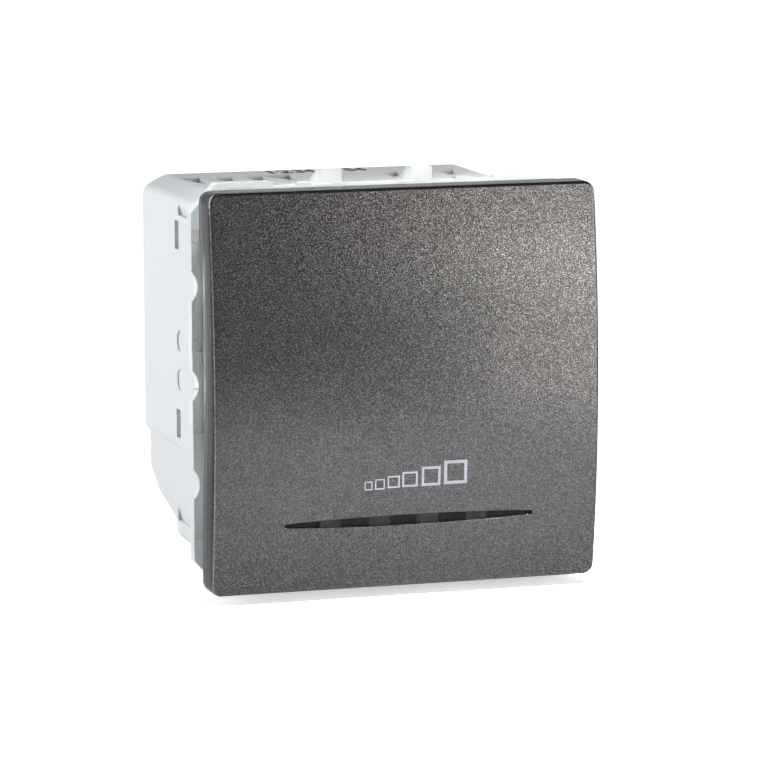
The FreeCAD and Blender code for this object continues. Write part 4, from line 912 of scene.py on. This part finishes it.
class DIMMER_OT_choke_wire(bpy.types.Operator):
    """Builds the choke's winding, turn by turn"""

    bl_idname = "dimmer.choke_wire"
    bl_label = "Choke wire"

    def execute(self, context):
        finish = metal("enamelled_copper", (0.55, 0.2, 0.08), 0.25)
        parts = winding_parts()
        mesh_piece("choke_wire", parts, finish, "root", ["choke_winding"], sharp_angle=60.0)
        return {"FINISHED"}


class DIMMER_OT_window(bpy.types.Operator):
    """Builds the smoky light window with its four bars in the slot"""

    bl_idname = "dimmer.window"
    bl_label = "Light window"

    def execute(self, context):
        parts = [box_part(*WINDOW_PLATE)] + insert_parts()
        mesh_piece("light_window", parts, smoky_plastic(), "key", ["slot_window"])
        return {"FINISHED"}


class DIMMER_OT_moulding_marks(bpy.types.Operator):
    """Builds the thin raised rims of the ejector marks and the seam lines on the flange's ledge"""

    bl_idname = "dimmer.moulding_marks"
    bl_label = "Moulding marks"

    def execute(self, context):
        shiny = bpy.data.materials["polished_plastic"]
        marks = []
        for sign in (-1, 1):
            for z in LEDGE_MARKS:
                marks.append(ring_part((sign * LEDGE_X, LEDGE_Y, z), *MARK_RING))
            near, far = sorted((sign * LEDGE_SEAM_X[0], sign * LEDGE_SEAM_X[1]))
            deep, high = LEDGE_SEAM_HALF
            for z in LEDGE_SEAMS:
                marks.append(box_part((near, LEDGE_Y - deep, z - high), (far, LEDGE_Y + deep, z + high)))
        mesh_piece("ledge_marks", marks, shiny)
        return {"FINISHED"}


class DIMMER_OT_top_numbers(bpy.types.Operator):
    """Builds the plain numbers printed at the rear of the housing's top"""

    bl_idname = "dimmer.top_numbers"
    bl_label = "Top numbers"

    def execute(self, context):
        finish = moulded_plastic("black_ink", (0.006, 0.006, 0.007), 0.7, 0.02)
        for text, x, width in TOP_NUMBERS:
            curve = bpy.data.curves.new("number", "FONT")
            curve.body = text
            curve.align_x = "CENTER"
            curve.extrude = NUMBER_THICK
            curve.offset = NUMBER_BOLD
            writer = bpy.data.objects.new("number", curve)
            context.scene.collection.objects.link(writer)
            depsgraph = context.evaluated_depsgraph_get()
            mesh = bpy.data.meshes.new_from_object(writer.evaluated_get(depsgraph))
            bpy.data.objects.remove(writer)
            points = np.empty(len(mesh.vertices) * 3)
            mesh.vertices.foreach_get("co", points)
            points = points.reshape(-1, 3)
            low, high = points.min(axis=0), points.max(axis=0)
            size = np.array([width, NUMBER_HEIGHT, NUMBER_THICK])
            points = (points - (low + high) / 2) / (high - low) * size
            points = (points + np.array([x, NUMBER_Y, BODY_Z])) * MM
            mesh.vertices.foreach_set("co", points.ravel())
            mesh.update()
            piece = bpy.data.objects.new("top_number_" + text, mesh)
            context.scene.collection.objects.link(piece)
            dress(piece, finish, "root")
        return {"FINISHED"}


class DIMMER_OT_key_print(bpy.types.Operator):
    """Builds the growing squares printed on the key"""

    bl_idname = "dimmer.key_print"
    bl_label = "Key print"

    def execute(self, context):
        parts = []
        for square in SQUARES:
            parts.append((square_ring(*square), grid_faces(4, 4, True, True)))
        mesh_piece("key_print", parts, silver_ink(), "key")
        return {"FINISHED"}


class DIMMER_OT_cad_finishes(bpy.types.Operator):
    """Gives the CAD pieces that stay their finishes"""

    bl_idname = "dimmer.cad_finishes"
    bl_label = "Finishes of the CAD pieces"

    def execute(self, context):
        pale = moulded_plastic("pale_plastic", context.scene.dimmer_finish.pale_tint, 0.5, polished=POLISHED_HIGHLIGHTS)
        made = {
            "pale_plastic": pale,
            "polished_plastic": moulded_plastic("polished_plastic", (0.95, 0.95, 0.95), 0.25),
            "white_plastic": moulded_plastic("white_plastic", (0.85, 0.85, 0.84), 0.4),
            "black_plastic": moulded_plastic("black_plastic", (0.02, 0.02, 0.022), 0.5),
            "clear_plastic": clear_plastic(),
            "board": board_lacquer(),
            "lamp": moulded_plastic("lamp", (0.85, 0.75, 0.4), 0.3, 0.1),
            "ferrite": moulded_plastic("ferrite", (0.05, 0.05, 0.055), 0.7),
            "film_blue": moulded_plastic("film_blue", (0.03, 0.12, 0.42), 0.35, 0.4),
            "varistor_blue": moulded_plastic("varistor_blue", (0.02, 0.09, 0.38), 0.3, 0.5),
            "ceramic": moulded_plastic("ceramic", (0.82, 0.8, 0.72), 0.35),
            "capacitor_can": metal("capacitor_can", (0.7, 0.71, 0.73), 0.3),
            "spring_steel": metal("spring_steel", (0.6, 0.6, 0.62), 0.3),
            "zinc_steel": metal("zinc_steel", (0.68, 0.69, 0.7), 0.3),
            "aluminium": metal("aluminium", (0.75, 0.76, 0.78), 0.35),
            "copper": metal("copper", (0.72, 0.38, 0.2), 0.35),
            "brass": metal("brass", (0.8, 0.62, 0.3), 0.3),
        }
        slots = {part["node"]: part["material_slot"] for part in frame["record"]["subparts"]}
        for name, node in frame["nodes"].items():
            finish = made.get(slots[name], pale)
            node.data.materials.clear()
            node.data.materials.append(finish)
        return {"FINISHED"}


def aim(thing, place, target):
    """Places an object and turns its -Z axis to a target, with +Y up."""
    thing.location = place
    thing.rotation_euler = (Vector(target) - Vector(place)).to_track_quat("-Z", "Y").to_euler()


def direction(azimuth, elevation):
    """Unit vector away from the object: azimuth 0 is in front of it, and positive is to its right."""
    a, e = math.radians(azimuth), math.radians(elevation)
    return Vector((math.sin(a) * math.cos(e), -math.cos(a) * math.cos(e), math.sin(e)))


def add_camera():
    """Camera of the photograph: the frame's rows are its right, up and back directions."""
    data = bpy.data.cameras.new("camera")
    camera = bpy.data.objects.new("camera", data)
    bpy.context.scene.collection.objects.link(camera)
    back = direction(CAMERA_AZIMUTH, CAMERA_ELEVATION)
    level = Vector((0, 0, 1)).cross(back).normalized()
    above = back.cross(level)
    roll = math.radians(CAMERA_ROLL)
    right = level * math.cos(roll) + above * math.sin(roll)
    up = above * math.cos(roll) - level * math.sin(roll)
    turn = Matrix((right, up, back)).transposed().to_4x4()
    place = Vector((0, EDGE_Y * MM, 0)) + back * CAMERA_DISTANCE
    camera.matrix_world = Matrix.Translation(place) @ turn
    data.lens = CAMERA_LENS
    data.sensor_width = 36.0
    data.shift_x, data.shift_y = CAMERA_SHIFT
    data.clip_start = 0.01
    bpy.context.scene.camera = camera


def add_lamp(name, azimuth, elevation, distance, size, power, target=(0, 0, 0), spread=180, tint=WHITE):
    """Soft rectangular lamp round the object, aimed at a target, with its beam's spread in degrees."""
    data = bpy.data.lights.new(name, "AREA")
    data.shape = "RECTANGLE"
    data.size, data.size_y = size
    data.energy = power
    data.color = tint
    data.spread = math.radians(spread)
    lamp = bpy.data.objects.new(name, data)
    bpy.context.scene.collection.objects.link(lamp)
    aim(lamp, direction(azimuth, elevation) * distance, target)


def seen_directly(tree):
    """1 for camera, mirror and glass rays, and 0 for the rays that light the object."""
    path = tree_node(tree, "ShaderNodeLightPath").outputs
    two = maths(tree, "ADD", path["Is Camera Ray"], path["Is Glossy Ray"])
    return maths(tree, "ADD", two, path["Is Transmission Ray"], clamp=True)


def add_floor(glow):
    """Pale floor under the object, flat all round, that shows as white and keeps the object's shadow."""
    corners = [(x * FLOOR_HALF, y * FLOOR_HALF, FLOOR_Z) for x, y in ((-1, -1), (1, -1), (1, 1), (-1, 1))]
    mesh = bpy.data.meshes.new("floor")
    mesh.from_pydata(corners, [], [(0, 1, 2, 3)])
    floor = bpy.data.objects.new("floor", mesh)
    bpy.context.scene.collection.objects.link(floor)
    made = bpy.data.materials.new("floor")
    made.use_nodes = True
    tree = made.node_tree
    shader = tree.nodes["Principled BSDF"]
    shader.inputs["Base Color"].default_value = (0.85, 0.85, 0.85, 1)
    shader.inputs["Roughness"].default_value = 0.9
    shader.inputs["Emission Color"].default_value = (*WHITE, 1)
    place = tree_node(tree, "ShaderNodeTexCoord").outputs["Object"]
    away = tree_node(tree, "ShaderNodeVectorMath", {0: place}, operation="LENGTH")
    far = remap(tree, away.outputs["Value"], *FLOOR_SHADE, glow, 1.0)
    tree.links.new(product(tree, seen_directly(tree), far), shader.inputs["Emission Strength"])
    mesh.materials.append(made)


def add_world(fill):
    """White surroundings: the camera sees white, and the object is lit by a weaker fill."""
    world = bpy.data.worlds.new("studio")
    bpy.context.scene.world = world
    world.use_nodes = True
    tree = world.node_tree
    background = tree.nodes["Background"]
    background.inputs["Color"].default_value = (*WHITE, 1)
    strength = remap(tree, seen_directly(tree), 0.0, 1.0, fill, 1.0)
    tree.links.new(strength, background.inputs["Strength"])


class DIMMER_OT_stage(bpy.types.Operator):
    """Builds the camera, floor, lamps and surroundings"""

    bl_idname = "dimmer.stage"
    bl_label = "Stage"

    def execute(self, context):
        studio = context.scene.dimmer_studio
        add_camera()
        add_floor(studio.glow)
        add_world(studio.fill)
        for name, azimuth, elevation, distance, size, setting, share, tint in LAMPS:
            power = getattr(studio, setting) * share
            add_lamp(name, azimuth, elevation, distance, size, power, tint=tint)
        add_lamp("floor_spot", *SPOT, studio.right * SPOT_SHARE, SPOT_PLACE, SPOT_SPREAD)
        context.scene.view_settings.view_transform = "Standard"
        return {"FINISHED"}


class DIMMER_PT_panel(bpy.types.Panel):
    """Lists the module's settings and pieces"""

    bl_label = "Dimmer module"
    bl_idname = "DIMMER_PT_panel"
    bl_space_type = "VIEW_3D"
    bl_region_type = "UI"
    bl_category = "Dimmer"

    def draw(self, context):
        for group in (context.scene.dimmer_key, context.scene.dimmer_finish, context.scene.dimmer_studio):
            for name in group.__annotations__:
                self.layout.prop(group, name)
        for operator in OPERATORS:
            self.layout.operator(operator.bl_idname)


OPERATORS = (
    DIMMER_OT_stage,
    DIMMER_OT_cad_finishes,
    DIMMER_OT_key_shell,
    DIMMER_OT_choke_wire,
    DIMMER_OT_window,
    DIMMER_OT_key_print,
    DIMMER_OT_moulding_marks,
    DIMMER_OT_top_numbers,
)
GROUPS = {"dimmer_key": KeySettings, "dimmer_finish": FinishSettings, "dimmer_studio": StudioSettings}


def register():
    """Registers the settings, operators and panel."""
    for name, group in GROUPS.items():
        bpy.utils.register_class(group)
        setattr(bpy.types.Scene, name, bpy.props.PointerProperty(type=group))
    for each in (*OPERATORS, DIMMER_PT_panel):
        bpy.utils.register_class(each)


def unregister():
    """Removes what register added."""
    for each in (DIMMER_PT_panel, *reversed(OPERATORS)):
        bpy.utils.unregister_class(each)
    for name, group in GROUPS.items():
        delattr(bpy.types.Scene, name)
        bpy.utils.unregister_class(group)


def main():
    """Builds everything in order."""
    register()
    for operator in OPERATORS:
        family, name = operator.bl_idname.split(".")
        getattr(getattr(bpy.ops, family), name)()


if __name__ == "__main__":
    main()
